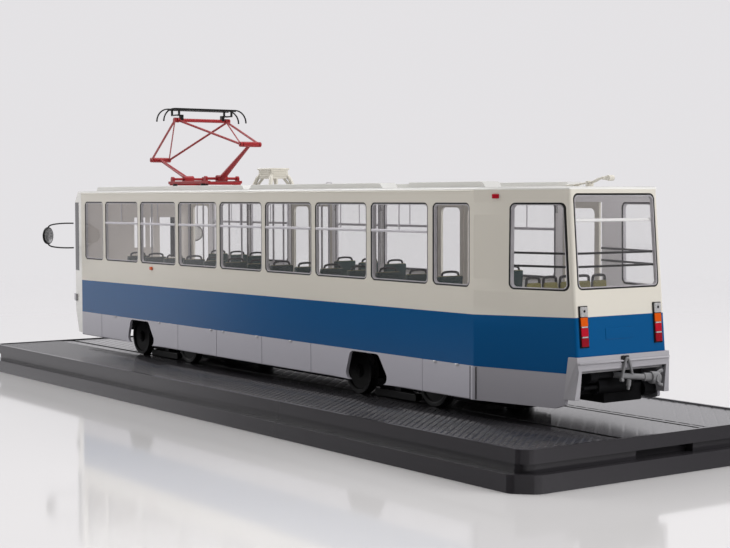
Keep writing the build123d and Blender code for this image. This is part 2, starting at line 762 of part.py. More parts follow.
# Glass: a pane behind each opening with a pad that fills it, and a rubber ring around the pad
SIDES = ((1, LEFT_WINDOWS), (-1, RIGHT_WINDOWS))
side_glass = []
side_rubber = []
for side, windows in SIDES:
    with BuildPart() as glazing:
        with BuildSketch(side_plane(side * INNER_Y, WINDOW_Z)):
            for x, width in windows:
                with Locations((x, 0)):
                    Rectangle(width + 2 * GLASS_LAP, WINDOW_H + 2 * GLASS_LAP)
        extrude(amount=side * GLASS_T)
        with BuildSketch(side_plane(side * INNER_Y, WINDOW_Z)):
            for x, width in windows:
                with Locations((x, 0)):
                    RectangleRounded(width - 2 * GASKET_W, WINDOW_H - 2 * GASKET_W, CORNER_R - GASKET_W)
        extrude(amount=-side * (WALL_T - PANE_RECESS))
    side_glass.append(glazing.part)
    with BuildPart() as rubber:
        with BuildSketch(side_plane(side * INNER_Y, WINDOW_Z)):
            for x, width in windows:
                with Locations((x, 0)):
                    RectangleRounded(width, WINDOW_H, CORNER_R)
                    RectangleRounded(
                        width - 2 * GASKET_W, WINDOW_H - 2 * GASKET_W, CORNER_R - GASKET_W, mode=Mode.SUBTRACT
                    )
        extrude(amount=-side * GASKET_T)
    side_rubber.append(rubber.part)

with BuildPart() as vent_bars:
    for side, windows in SIDES:
        glass_y = side * (HALF_W - PANE_RECESS)
        bar_y = sorted((glass_y, glass_y + side * VENT_T))
        bar_z = (HEAD_Z - VENT_DROP - VENT_H / 2, HEAD_Z - VENT_DROP + VENT_H / 2)
        for x, width in windows:
            if width == WINDOW_W:
                half = width / 2 - GASKET_W
                block((x - half, x + half), bar_y, bar_z)

tail_glass_slabs = [(slab, tail_opening, tail_pane) for slab in tail_slabs]
tail_glass_slabs += [(rear_slab, rear_opening, rear_pane)]
glass_pieces = []
rubber_pieces = []
for slab, opening, pane in tail_glass_slabs:
    with BuildPart() as pane_piece:
        add(slab)
        add(pane, mode=Mode.INTERSECT)
    glass_pieces.append(pane_piece.part)
    with BuildPart() as rubber_piece:
        add(slab)
        add(opening, mode=Mode.INTERSECT)
        add(pane, mode=Mode.SUBTRACT)
    rubber_pieces.append(rubber_piece.part)

with BuildPart() as glazing_rear:
    for piece in glass_pieces:
        add(piece)

with BuildPart() as window_gaskets:
    for piece in side_rubber + rubber_pieces:
        add(piece)

# Doors: one leaf in a short bay and two in a full one, hung in the right side's openings
door_leaves = []
door_panes = []
LEAF_Y = -INNER_Y - WALL_T / 2 - DOOR_T / 2
for x, width in RIGHT_DOORS:
    leaf_count = 1 if width == END_WINDOW_W else 2
    leaf_w = width / leaf_count - 2 * DOOR_GAP
    glass_h = WINDOW_H + DOOR_GLASS_DROP
    leaf_xs = [x + (leaf - (leaf_count - 1) / 2) * width / leaf_count for leaf in range(leaf_count)]
    pane_z = HEAD_Z - DOOR_RAIL - glass_h / 2
    with BuildPart() as door_leaf:
        with BuildSketch(side_plane(LEAF_Y, DOOR_Z + DOOR_H / 2)):
            for leaf_x in leaf_xs:
                with Locations((leaf_x, 0)):
                    Rectangle(leaf_w, DOOR_H)
        extrude(amount=-DOOR_T)
        with BuildSketch(side_plane(LEAF_Y, pane_z)):
            for leaf_x in leaf_xs:
                with Locations((leaf_x, 0)):
                    RectangleRounded(leaf_w - 2 * DOOR_RAIL, glass_h, CORNER_R)
        extrude(amount=-DOOR_T, mode=Mode.SUBTRACT)
    door_leaves.append(door_leaf.part)
    with BuildPart() as door_pane:
        with BuildSketch(side_plane(LEAF_Y, pane_z)):
            for leaf_x in leaf_xs:
                with Locations((leaf_x, 0)):
                    RectangleRounded(leaf_w - 2 * DOOR_RAIL, glass_h, CORNER_R)
        extrude(amount=-DOOR_T + PANE_RECESS)
    door_panes.append(door_pane.part)

with BuildPart() as doors:
    for leaf in door_leaves:
        add(leaf)

with BuildPart() as door_glass:
    for pane in door_panes:
        add(pane)

STEP_L = (INNER_Y - WHEEL_FACE_Y - STEP_GAP) / 2
with BuildPart() as door_steps:
    for x, width in RIGHT_DOORS:
        with BuildSketch(Plane(origin=(x, 0, 0), x_dir=(0, 1, 0), z_dir=(1, 0, 0))):
            with BuildLine():
                Polyline(
                    (-INNER_Y, DOOR_Z),
                    (-INNER_Y, DOOR_Z + STEP_H),
                    (-INNER_Y + STEP_L, DOOR_Z + STEP_H),
                    (-INNER_Y + STEP_L, BELT_Z),
                    (-INNER_Y + 2 * STEP_L, BELT_Z),
                    (-INNER_Y + 2 * STEP_L, DOOR_Z),
                    close=True,
                )
            make_face()
        extrude(amount=width / 2 - DOOR_GAP, both=True)

# Inside: rows of moulded seats, poles, rails over the rear windows, the cab's screen and desk
SEAT_XS = [SEAT_FIRST_X - row * SEAT_PITCH for row in range(SEAT_ROWS)]
SEAT_Y = INNER_Y - GLASS_T - SEAT_GAP - SEAT_W / 2
PARTITION_X = SEAM_X - FRONT_POST / 2
CAB_SEAT_X = PARTITION_X + PARTITION_T + SEAT_RAKE
POLE_Y = SEAT_Y - SEAT_W / 2 - POLE_GAP
door_reaches = [(x, width / 2 + SEAT_L) for x, width in RIGHT_DOORS]
right_rows = [
    x for x in SEAT_XS if all(abs(x + SEAT_L / 2 - door_x) > reach for door_x, reach in door_reaches)
]
seat_places = [(x, SEAT_Y) for x in SEAT_XS] + [(x, -SEAT_Y) for x in right_rows] + [(CAB_SEAT_X, 0.0)]
with BuildPart() as seats:
    for seat_x, seat_y in seat_places:
        with BuildSketch(Plane(origin=(seat_x, seat_y, FLOOR_Z), x_dir=(1, 0, 0), z_dir=(0, -1, 0))):
            with BuildLine():
                Polyline(
                    (SEAT_T, 0),
                    (SEAT_L - SEAT_T, 0),
                    (SEAT_L - SEAT_T, SEAT_H - SEAT_T),
                    (SEAT_L, SEAT_H - SEAT_T),
                    (SEAT_L, SEAT_H),
                    (SEAT_T, SEAT_H),
                    (SEAT_T - SEAT_RAKE, SEAT_H + SEAT_BACK_H),
                    (-SEAT_RAKE, SEAT_H + SEAT_BACK_H),
                    (0, SEAT_H - SEAT_T),
                    (SEAT_T, SEAT_H - SEAT_T),
                    close=True,
                )
            make_face()
        extrude(amount=SEAT_W / 2, both=True)

rail_slabs = []
for height in RAIL_HEIGHTS:
    for run in (TAIL_LEFT_RUN, REAR_RUN, TAIL_RIGHT_RUN):
        low = SILL_Z + height - RAIL_T / 2
        rail_slabs.append(wall(run, low, low + RAIL_T, WALL_T, WALL_T + RAIL_T))
top_rail_z = SILL_Z + TOP_RAIL_HEIGHT
top_rail = wall(REAR_RUN, top_rail_z - RAIL_T / 2, top_rail_z + RAIL_T / 2, WALL_T, WALL_T + RAIL_T)

with BuildPart() as stanchions:
    for pole_x in BAY_XS:
        for pole_y in (-POLE_Y, POLE_Y):
            bar((pole_x, pole_y, FLOOR_Z), (pole_x, pole_y, EAVES_Z), POLE_R)
    add(top_rail)

with BuildPart() as window_rails:
    for slab in rail_slabs:
        add(slab)

with BuildPart() as cab_partition:
    partition_h = EAVES_Z - FLOOR_Z
    with BuildSketch(Plane(origin=(PARTITION_X, 0, FLOOR_Z), x_dir=(0, 1, 0), z_dir=(1, 0, 0))):
        with Locations((0, partition_h / 2)):
            Rectangle(2 * INNER_Y, partition_h)
        for light_y, light_w, light_h in PARTITION_LIGHTS:
            with Locations((light_y, PAINT_Z + PARTITION_HEAD - light_h / 2 - FLOOR_Z)):
                Rectangle(light_w, light_h, mode=Mode.SUBTRACT)
    extrude(amount=PARTITION_T / 2, both=True)

with BuildPart() as driver_desk:
    with BuildSketch(side_plane(0, FLOOR_Z)):
        desk_x = FRONT_X - WALL_T
        with BuildLine():
            Polyline(
                (desk_x, 0),
                (desk_x, DESK_H),
                (desk_x - DESK_L / 2, DESK_H),
                (desk_x - DESK_L, DESK_H - DESK_SLOPE),
                (desk_x - DESK_FOOT, 0),
                close=True,
            )
        make_face()
    extrude(amount=DESK_W / 2, both=True)

# Bumpers: at the tail an inverted U of plate wrapped round the corners, at the front a band on the mask
with BuildPart() as body_block:
    for z in (BELT_Z, EAVES_Z):
        with BuildSketch(Plane.XY.offset(z)):
            with BuildLine():
                Polyline(*plan(z), close=True)
            make_face()
    loft(ruled=True)

ledge_z = BUMPER_Z - LEDGE_DROP
ledge_slab = wall(REAR_RUN, ledge_z, ledge_z + LEDGE_H, -BUMPER_T - LEDGE_T, -BUMPER_T / 2)
with BuildPart() as rear_bumper:
    for z in (BUMPER_FOOT_Z, BUMPER_Z):
        with BuildSketch(Plane.XY.offset(z)):
            with BuildLine():
                Polyline(*inset(plan(z), -BUMPER_T), close=True)
            make_face()
    loft(ruled=True)
    add(bumper_side(BUMPER_T), mode=Mode.INTERSECT)
    inside = REAR_W / 2 - BUMPER_LEG + BUMPER_T
    block((-CUT, CUT), (-inside, inside), (0, BUMPER_Z - BUMPER_H), Mode.SUBTRACT)
    add(ledge_slab)
    add(body_block.part, mode=Mode.SUBTRACT)

with BuildPart() as front_bumper:
    with BuildSketch(Plane.XY.offset(BELT_Z + FRONT_BUMPER_LIFT)):
        make_face(mask_outline(0.0, -BUMPER_T))
    extrude(amount=FRONT_BUMPER_H)
    block((-CUT, SEAM_X + MASK_L / 2), (-CUT, CUT), (0, CUT), Mode.SUBTRACT)
    add(mask_outer, mode=Mode.SUBTRACT)

# Coupler: a bar from the drum to a pin under the bumper, with its forked head swung aside, held by a hoop
DRAWBAR_Z = BUMPER_Z - BUMPER_H - DRAWBAR_DROP
PIN_X = CHEEK_X - CHEEK_L - BUMPER_T
HOOP_Z = BUMPER_Z - STRAP_DROP - STRAP_W / 2
with BuildPart() as rear_coupler:
    bar((DRUM_X - DRUM_R, 0, DRAWBAR_Z), (PIN_X, 0, DRAWBAR_Z), DRAWBAR_R)
    bar((PIN_X, 0, DRAWBAR_Z - PIN_H / 2), (PIN_X, 0, DRAWBAR_Z + PIN_H / 2), DRAWBAR_R)
    with Locations(Location((PIN_X, 0, DRAWBAR_Z), (0, 0, DRAWBAR_TURN))):
        with Locations((-DRAWBAR_L / 2, 0, 0)):
            Box(DRAWBAR_L, 2 * DRAWBAR_R, 2 * DRAWBAR_R)
        with Locations((-DRAWBAR_L - COUPLER_L / 2, 0, 0)):
            Box(COUPLER_L, COUPLER_W, COUPLER_H)
        with Locations((-DRAWBAR_L - COUPLER_L, 0, 0)):
            Box(COUPLER_L, COUPLER_SLOT, COUPLER_H, mode=Mode.SUBTRACT)
    hoop_w = STRAP_W / 2 - STRAP_T
    with BuildSketch(Plane(origin=(PIN_X, 0, HOOP_Z), x_dir=(0, 1, 0), z_dir=(1, 0, 0))):
        Circle(STRAP_W / 2)
        with Locations((0, -STRAP_H / 2)):
            Rectangle(STRAP_W, STRAP_H)
        Circle(hoop_w, mode=Mode.SUBTRACT)
        with Locations((0, -STRAP_H / 2 + STRAP_T)):
            Rectangle(2 * hoop_w, STRAP_H, mode=Mode.SUBTRACT)
    extrude(amount=STRAP_T, both=True)
    add(rear_bumper.part, mode=Mode.SUBTRACT)

# Lamps: tail clusters of four stacked lenses on black cases, headlamps and small side markers
LAMP_Z = BELT_Z + LAMP_LIFT - LAMP_RULE
LAMP_STEP = LAMP_SEGMENT_H + LAMP_RULE
case_low = LAMP_Z - LAMP_CASE_RIM
case_high = LAMP_Z + 4 * LAMP_STEP - LAMP_RULE + LAMP_CASE_RIM
case_slab = wall(REAR_RUN, case_low, case_high, -LAMP_CASE_T, 0.0)
lens_slabs = []
for segment in range(4):
    low = LAMP_Z + segment * LAMP_STEP
    lens_slabs.append(wall(REAR_RUN, low, low + LAMP_SEGMENT_H, -LAMP_CASE_T - LAMP_T, -LAMP_CASE_T))
marker_low = HEAD_Z + TAIL_MARKER[1]
marker_slabs = [
    wall(run, marker_low - MARKER_H / 2, marker_low + MARKER_H / 2, -MARKER_T, 0.0)
    for run in (TAIL_LEFT_RUN, TAIL_RIGHT_RUN)
]

lamp_pairs = []
lamp_rows = [(case_slab, LAMP_W + 2 * LAMP_CASE_RIM)] + [(slab, LAMP_W) for slab in lens_slabs]
for slab, width in lamp_rows:
    with BuildPart() as lamp_pair:
        add(slab)
        block((-CUT, 0), (-LAMP_Y - width / 2, LAMP_Y + width / 2), (0, CUT), Mode.INTERSECT)
        block((-CUT, 0), (-LAMP_Y + width / 2, LAMP_Y - width / 2), (0, CUT), Mode.SUBTRACT)
    lamp_pairs.append(lamp_pair.part)

tail_markers = []
for slab in marker_slabs:
    with BuildPart() as tail_marker:
        add(slab)
        marker_x = CREASE_X - TAIL_MARKER[0]
        block((marker_x - MARKER_W / 2, marker_x + MARKER_W / 2), (-CUT, CUT), (0, CUT), Mode.INTERSECT)
    tail_markers.append(tail_marker.part)

with BuildPart() as tail_lamp_cases:
    add(lamp_pairs[0])

with BuildPart() as red_lenses:
    add(lamp_pairs[1])
    add(lamp_pairs[2])
    for tail_marker in tail_markers:
        add(tail_marker)

with BuildPart() as orange_lenses:
    add(lamp_pairs[3])
    for side in (-1, 1):
        marker_y = sorted((side * HALF_W, side * (HALF_W + MARKER_T)))
        marker_z = SILL_Z - SIDE_MARKER_DROP
        marker_x = (SIDE_MARKER_X - MARKER_W / 2, SIDE_MARKER_X + MARKER_W / 2)
        block(marker_x, marker_y, (marker_z - MARKER_H / 2, marker_z + MARKER_H / 2))

with BuildPart() as clear_lenses:
    add(lamp_pairs[4])
    for lamp_y in HEADLAMP_YS:
        for side in (-1, 1):
            lamp_z = BELT_Z + HEADLAMP_H
            bar((FRONT_X, side * lamp_y, lamp_z), (FRONT_X + LAMP_T, side * lamp_y, lamp_z), HEADLAMP_R)

# Mirrors: a round glass on two wire arms from each front corner
MIRROR_X = FRONT_X - MIRROR_BACK
MIRROR_Y = HALF_W + MIRROR_OUT
MIRROR_Z = PAVING_Z + MIRROR_HEIGHT
with BuildPart() as mirrors:
    for side in (-1, 1):
        for reach in (-1, 1):
            root_z = MIRROR_Z + reach * MIRROR_ARM_SPACE / 2
            root = (FRONT_X - MASK_R / 2, side * (HALF_W - MASK_R), root_z)
            tip = (MIRROR_X, side * (MIRROR_Y - MIRROR_R / 2), MIRROR_Z + reach * MIRROR_R / 2)
            bar(root, tip, MIRROR_ARM_R)
    add(mask_outer, mode=Mode.SUBTRACT)
    for side in (-1, 1):
        back = (MIRROR_X - MIRROR_T / 2, side * MIRROR_Y, MIRROR_Z)
        bar(back, (MIRROR_X + MIRROR_T / 2, side * MIRROR_Y, MIRROR_Z), MIRROR_R)

# Roof fittings: a ventilated box on splayed legs, and the rod at the tail with its knob
with BuildPart() as roof_box:
    box_z = ROOF_Z + BOX_LEG_H
    block((BOX_X - BOX_L / 2, BOX_X + BOX_L / 2), (-BOX_W / 2, BOX_W / 2), (box_z, box_z + BOX_H))
    fillet(roof_box.edges().filter_by(Axis.Z), BOX_R)
    for leg_x in (-1, 1):
        for leg_y in (-1, 1):
            inner_x = BOX_X + leg_x * (BOX_L / 2 - 2 * BOX_LEG_R)
            inner_y = leg_y * (BOX_W / 2 - 2 * BOX_LEG_R)
            with BuildSketch(Plane.XY.offset(ROOF_Z)):
                with Locations((inner_x + leg_x * BOX_SPLAY, inner_y + leg_y * BOX_SPLAY)):
                    Circle(BOX_LEG_R)
            with BuildSketch(Plane.XY.offset(box_z)):
                with Locations((inner_x, inner_y)):
                    Circle(BOX_LEG_R)
            loft()

with BuildPart() as roof_aerial:
    aerial_top = ROOF_Z + AERIAL_KNOB_R
    with Locations((AERIAL_X, AERIAL_Y, ROOF_Z)):
        Cylinder(AERIAL_KNOB_R, 2 * AERIAL_KNOB_R, align=(Align.CENTER, Align.CENTER, Align.MIN))
    knob = (AERIAL_X - AERIAL_L, AERIAL_Y, aerial_top + AERIAL_RISE)
    bar((AERIAL_X, AERIAL_Y, aerial_top), knob, AERIAL_R)
    across(knob[0], knob[2], AERIAL_Y - AERIAL_KNOB_R, AERIAL_Y + AERIAL_KNOB_R, AERIAL_KNOB_R)

# Pantograph: places of its pivots in the side view, with the head where the two upper arms meet
PIVOT_Z = ROOF_Z + PIVOT_H


def knuckle(end, angle):
    """Where a lower arm's knuckle stands in the side view: end is 1 at the front and -1 at the rear."""
    lift = math.radians(angle)
    pivot_x = PANTO_X + end * PIVOT_SPAN / 2
    return pivot_x + end * LOWER_ARM * math.cos(lift), PIVOT_Z + LOWER_ARM * math.sin(lift)


REAR_KNUCKLE = knuckle(-1, REAR_ANGLE)
FRONT_KNUCKLE = knuckle(1, FRONT_ANGLE)
SPREAD = math.dist(REAR_KNUCKLE, FRONT_KNUCKLE)
SLOPE = math.atan2(FRONT_KNUCKLE[1] - REAR_KNUCKLE[1], FRONT_KNUCKLE[0] - REAR_KNUCKLE[0])
UPPER_RISE = math.sqrt(UPPER_ARM**2 - (SPREAD / 2) ** 2)
HEAD_PIVOT_X = (REAR_KNUCKLE[0] + FRONT_KNUCKLE[0]) / 2 - math.sin(SLOPE) * UPPER_RISE
HEAD_PIVOT_Z = (REAR_KNUCKLE[1] + FRONT_KNUCKLE[1]) / 2 + math.cos(SLOPE) * UPPER_RISE
KNUCKLE_EYE_Y = KNUCKLE_Y + PIN_GAP + EYE_T / 2
HEAD_EYE_Y = HEAD_TUBE_Y + PIN_GAP + EYE_T / 2
OUTER_EYE_Y = HEAD_EYE_Y + EYE_T + 2 * PIN_GAP
PIN_BORE_R = PIN_R + PIN_GAP

BASE_TOP_Z = PIVOT_Z - BASE_DROP
with BuildPart() as panto_base:
    base_half = BASE_L / 2
    bar_z = (BASE_TOP_Z - BASE_BAR, BASE_TOP_Z)
    for side in (-1, 1):
        rail_y = (side * BASE_Y - BASE_BAR / 2, side * BASE_Y + BASE_BAR / 2)
        end_x = PANTO_X + side * (base_half - BASE_BAR / 2)
        pivot_x = PANTO_X + side * PIVOT_SPAN / 2
        block((PANTO_X - base_half, PANTO_X + base_half), rail_y, bar_z)
        end_z = (bar_z[0] - END_BAR_DROP, bar_z[1] - END_BAR_DROP)
        block((end_x - BASE_BAR / 2, end_x + BASE_BAR / 2), (-BASE_Y, BASE_Y), end_z)
        across(pivot_x, PIVOT_Z, -BASE_Y, BASE_Y, SHAFT_R)
        for bearing_y in (-BASE_Y, BASE_Y):
            with BuildSketch(side_plane(bearing_y, PIVOT_Z)):
                with Locations((pivot_x, 0)):
                    Circle(BEARING_L / 2)
                with Locations((pivot_x, -BASE_DROP / 2)):
                    Rectangle(BEARING_L, BASE_DROP)
            extrude(amount=BASE_BAR / 2, both=True)

with BuildPart() as panto_feet:
    for foot_x in (PANTO_X - FOOT_X, PANTO_X + FOOT_X):
        for foot_y in (-BASE_Y, BASE_Y):
            bar((foot_x, foot_y, ROOF_Z), (foot_x, foot_y, BASE_TOP_Z - BASE_BAR), FOOT_R)

HUB_BORE_R = SHAFT_R + PIN_GAP
lower_arms = []
LOWER_ROWS = (
    ("panto_lower_rear", -1, REAR_KNUCKLE, REAR_ARM_R),
    ("panto_lower_front", 1, FRONT_KNUCKLE, FRONT_ARM_R),
)
for name, end, tip, root_r in LOWER_ROWS:
    pivot_x = PANTO_X + end * PIVOT_SPAN / 2
    with BuildPart() as lower_arm:
        across(pivot_x, PIVOT_Z, -HUB_L / 2, HUB_L / 2, HUB_BORE_R + HUB_WALL)
        bar((pivot_x, 0, PIVOT_Z), (tip[0], 0, tip[1]), root_r, ARM_TIP_R)
        across(tip[0], tip[1], -KNUCKLE_Y, KNUCKLE_Y, KNUCKLE_R)
        pin_y = KNUCKLE_EYE_Y + EYE_T / 2 + PIN_GAP
        across(tip[0], tip[1], -pin_y, pin_y, PIN_R)
        across(pivot_x, PIVOT_Z, -HUB_L, HUB_L, HUB_BORE_R, Mode.SUBTRACT)
    lower_arms.append((name, lower_arm.part))

upper_arms = []
UPPER_ROWS = (
    ("panto_upper_rear", REAR_KNUCKLE, HEAD_EYE_Y, 1),
    ("panto_upper_front", FRONT_KNUCKLE, OUTER_EYE_Y, -1),
)
for name, root, top_y, brace_side in UPPER_ROWS:
    with BuildPart() as upper_arm:
        for side in (-1, 1):
            root_y = side * KNUCKLE_EYE_Y
            head_y = side * top_y
            across(root[0], root[1], root_y - EYE_T / 2, root_y + EYE_T / 2, EYE_R)
            across(HEAD_PIVOT_X, HEAD_PIVOT_Z, head_y - EYE_T / 2, head_y + EYE_T / 2, EYE_R)
            bar((root[0], root_y, root[1]), (HEAD_PIVOT_X, head_y, HEAD_PIVOT_Z), TUBE_R)
        brace_root = (root[0], brace_side * KNUCKLE_EYE_Y, root[1])
        bar(brace_root, (HEAD_PIVOT_X, -brace_side * top_y, HEAD_PIVOT_Z), BRACE_R)
        across(root[0], root[1], -BODY_W, BODY_W, PIN_BORE_R, Mode.SUBTRACT)
        if top_y == HEAD_EYE_Y:
            across(HEAD_PIVOT_X, HEAD_PIVOT_Z, -BODY_W, BODY_W, PIN_BORE_R, Mode.SUBTRACT)
    upper_arms.append((name, upper_arm.part))

with BuildPart() as panto_head_tube:
    across(HEAD_PIVOT_X, HEAD_PIVOT_Z, -HEAD_TUBE_Y, HEAD_TUBE_Y, HEAD_TUBE_R)
    pin_y = HEAD_EYE_Y + EYE_T / 2 + PIN_GAP
    across(HEAD_PIVOT_X, HEAD_PIVOT_Z, -pin_y, pin_y, PIN_R)

STRIP_Z = HEAD_PIVOT_Z + STRIP_RISE
with BuildPart() as panto_collector:
    for strip_x in (HEAD_PIVOT_X - STRIP_X, HEAD_PIVOT_X + STRIP_X):
        block(
            (strip_x - STRIP_W / 2, strip_x + STRIP_W / 2), (-STRIP_Y, STRIP_Y), (STRIP_Z - STRIP_T, STRIP_Z)
        )
        with BuildSketch(Plane(origin=(strip_x, 0, STRIP_Z), x_dir=(0, 1, 0), z_dir=(1, 0, 0))):
            for side in (-1, 1):
                with BuildLine():
                    for skin in (0.0, HORN_T):
                        bend_y = STRIP_Y + (HORN_Y - STRIP_Y - skin) * math.sqrt(0.5)
                        bend_z = -HORN_DROP + (HORN_DROP - skin) * math.sqrt(0.5)
                        tip = (side * (HORN_Y - skin), -HORN_DROP)
                        ThreePointArc((side * STRIP_Y, -skin), (side * bend_y, bend_z), tip)
                    Line((side * HORN_Y, -HORN_DROP), (side * (HORN_Y - HORN_T), -HORN_DROP))
                    Line((side * STRIP_Y, 0), (side * STRIP_Y, -HORN_T))
                make_face()
        extrude(amount=HORN_T / 2, both=True)
    arm_z = (HEAD_PIVOT_Z + BRACKET_LIFT, HEAD_PIVOT_Z + BRACKET_LIFT + BRACKET_T)
    strip_low = STRIP_Z - STRIP_T
    for side in (-1, 1):
        arm_y = sorted((side * BRACKET_ARM[0], side * (BRACKET_Y + BRACKET_W / 2)))
        post_y = sorted((side * BRACKET_ARM[0], side * BRACKET_ARM[1]))
        leg_y = (side * BRACKET_Y - BRACKET_W / 2, side * BRACKET_Y + BRACKET_W / 2)
        block((HEAD_PIVOT_X - BRACKET_W, HEAD_PIVOT_X + BRACKET_W), arm_y, arm_z)
        block((HEAD_PIVOT_X - BRACKET_W, HEAD_PIVOT_X + BRACKET_W), post_y, (HEAD_PIVOT_Z, arm_z[1]))
        block((HEAD_PIVOT_X - STRIP_X, HEAD_PIVOT_X + STRIP_X), leg_y, arm_z)
        for leg_x in (HEAD_PIVOT_X - STRIP_X, HEAD_PIVOT_X + STRIP_X):
            block((leg_x - BRACKET_T / 2, leg_x + BRACKET_T / 2), leg_y, (arm_z[0], strip_low))
    across(HEAD_PIVOT_X, HEAD_PIVOT_Z, -HEAD_TUBE_Y, HEAD_TUBE_Y, HEAD_TUBE_R, Mode.SUBTRACT)

# Every piece under its own name
pieces = [
    ("plinth_tray", plinth_tray.part),
    ("plinth_deck", plinth_deck.part),
    ("track_brakes", track_brakes.part),
    ("floor_pan", floor_pan.part),
    ("underfloor_boxes", underfloor_boxes.part),
    ("side_wall_left", side_wall_left.part),
    ("side_wall_right", side_wall_right.part),
    ("belt_left", belt_left.part),
    ("belt_right", belt_right.part),
    ("belt_rear", belt_rear.part),
    ("skirt_tail", skirt_tail.part),
    ("rear_wall", rear_wall.part),
    ("front_mask", front_mask.part),
    ("corner_posts", corner_posts.part),
    ("windscreen", windscreen.part),
    ("roof_shell", roof_shell.part),
    ("roof_ducts", roof_ducts.part),
    ("glazing_left", side_glass[0]),
    ("glazing_right", side_glass[1]),
    ("vent_bars", vent_bars.part),
    ("glazing_rear", glazing_rear.part),
    ("window_gaskets", window_gaskets.part),
    ("doors", doors.part),
    ("door_glass", door_glass.part),
    ("door_steps", door_steps.part),
    ("seats", seats.part),
    ("stanchions", stanchions.part),
    ("window_rails", window_rails.part),
    ("cab_partition", cab_partition.part),
    ("driver_desk", driver_desk.part),
    ("rear_bumper", rear_bumper.part),
    ("rear_coupler", rear_coupler.part),
    ("front_bumper", front_bumper.part),
    ("tail_lamp_cases", tail_lamp_cases.part),
    ("red_lenses", red_lenses.part),
    ("orange_lenses", orange_lenses.part),
    ("clear_lenses", clear_lenses.part),
    ("mirrors", mirrors.part),
    ("roof_box", roof_box.part),
    ("roof_aerial", roof_aerial.part),
    ("panto_base", panto_base.part),
    ("panto_feet", panto_feet.part),
    ("panto_head_tube", panto_head_tube.part),
    ("panto_collector", panto_collector.part),
]
pieces += wheelsets + bogies + skirts + tail_corners + lower_arms + upper_arms

os.makedirs("parts", exist_ok=True)
for name, piece in pieces:
    piece.label = name
    export_step(piece, f"parts/{name}.step")
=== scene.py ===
import json
import math

import bmesh
import bpy
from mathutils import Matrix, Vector


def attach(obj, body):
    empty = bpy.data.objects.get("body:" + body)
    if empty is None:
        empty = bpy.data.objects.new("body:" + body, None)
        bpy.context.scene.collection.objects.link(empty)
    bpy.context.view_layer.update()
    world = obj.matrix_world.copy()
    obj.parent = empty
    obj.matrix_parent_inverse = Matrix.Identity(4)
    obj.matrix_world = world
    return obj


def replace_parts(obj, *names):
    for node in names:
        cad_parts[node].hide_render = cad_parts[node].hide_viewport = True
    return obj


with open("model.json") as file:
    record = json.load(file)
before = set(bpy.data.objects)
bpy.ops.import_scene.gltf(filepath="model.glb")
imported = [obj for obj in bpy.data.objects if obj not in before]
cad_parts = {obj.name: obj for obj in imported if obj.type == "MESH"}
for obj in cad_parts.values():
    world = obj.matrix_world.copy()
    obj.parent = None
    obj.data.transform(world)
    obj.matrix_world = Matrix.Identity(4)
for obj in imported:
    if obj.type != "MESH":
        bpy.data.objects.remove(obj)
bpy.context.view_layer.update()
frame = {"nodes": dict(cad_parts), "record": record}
MM = 0.001
body_of_node = {}
for body, nodes in frame["record"]["behaviour"]["bodies"].items():
    body_of_node.update({node: body for node in nodes})


# Plinth tray: a flat moulding of satin black plastic with cut corners and a raised neck under the deck.
# It comes out of its mould in one piece, so every edge is a little round.
def ramp(tree, source, start, end, low, high, kind="LINEAR"):
    """A shader value that runs from low to high while the source runs from start to end."""
    node = tree.nodes.new("ShaderNodeMapRange")
    node.interpolation_type = kind
    for label, value in (("From Min", start), ("From Max", end), ("To Min", low), ("To Max", high)):
        node.inputs[label].default_value = value
    tree.links.new(source, node.inputs["Value"])
    return node.outputs[0]


def skin(name, dark, light, patch, rough, grain, relief, metallic=0.0, shine=0.5):
    """A finish of drifting tone, uneven gloss and fine grain; patch, grain and relief in millimetres."""
    material = bpy.data.materials.new(name)
    material.use_nodes = True
    nodes = material.node_tree.nodes
    link = material.node_tree.links.new
    shader = nodes["Principled BSDF"]
    shader.inputs["Metallic"].default_value = metallic
    shader.inputs["Specular IOR Level"].default_value = shine
    place = nodes.new("ShaderNodeTexCoord").outputs["Object"]
    drift = nodes.new("ShaderNodeTexNoise")
    drift.inputs["Scale"].default_value = 1 / (patch * MM)
    tone = nodes.new("ShaderNodeMix")
    tone.data_type = "RGBA"
    tone.inputs[6].default_value = (*dark, 1)
    tone.inputs[7].default_value = (*light, 1)
    fine = nodes.new("ShaderNodeTexNoise")
    fine.inputs["Scale"].default_value = 1 / (grain * MM)
    gloss = ramp(material.node_tree, fine.outputs[0], 0.3, 0.7, *rough)
    bump = nodes.new("ShaderNodeBump")
    bump.inputs["Distance"].default_value = relief * MM
    link(place, drift.inputs["Vector"])
    link(place, fine.inputs["Vector"])
    link(drift.outputs[0], tone.inputs[0])
    link(tone.outputs[2], shader.inputs["Base Color"])
    link(gloss, shader.inputs["Roughness"])
    link(fine.outputs[0], bump.inputs["Height"])
    link(bump.outputs[0], shader.inputs["Normal"])
    return material


def only(*pieces):
    """Selects these objects and no other, the first one active."""
    bpy.ops.object.select_all(action="DESELECT")
    for piece in pieces:
        piece.select_set(True)
    bpy.context.view_layer.objects.active = pieces[0]


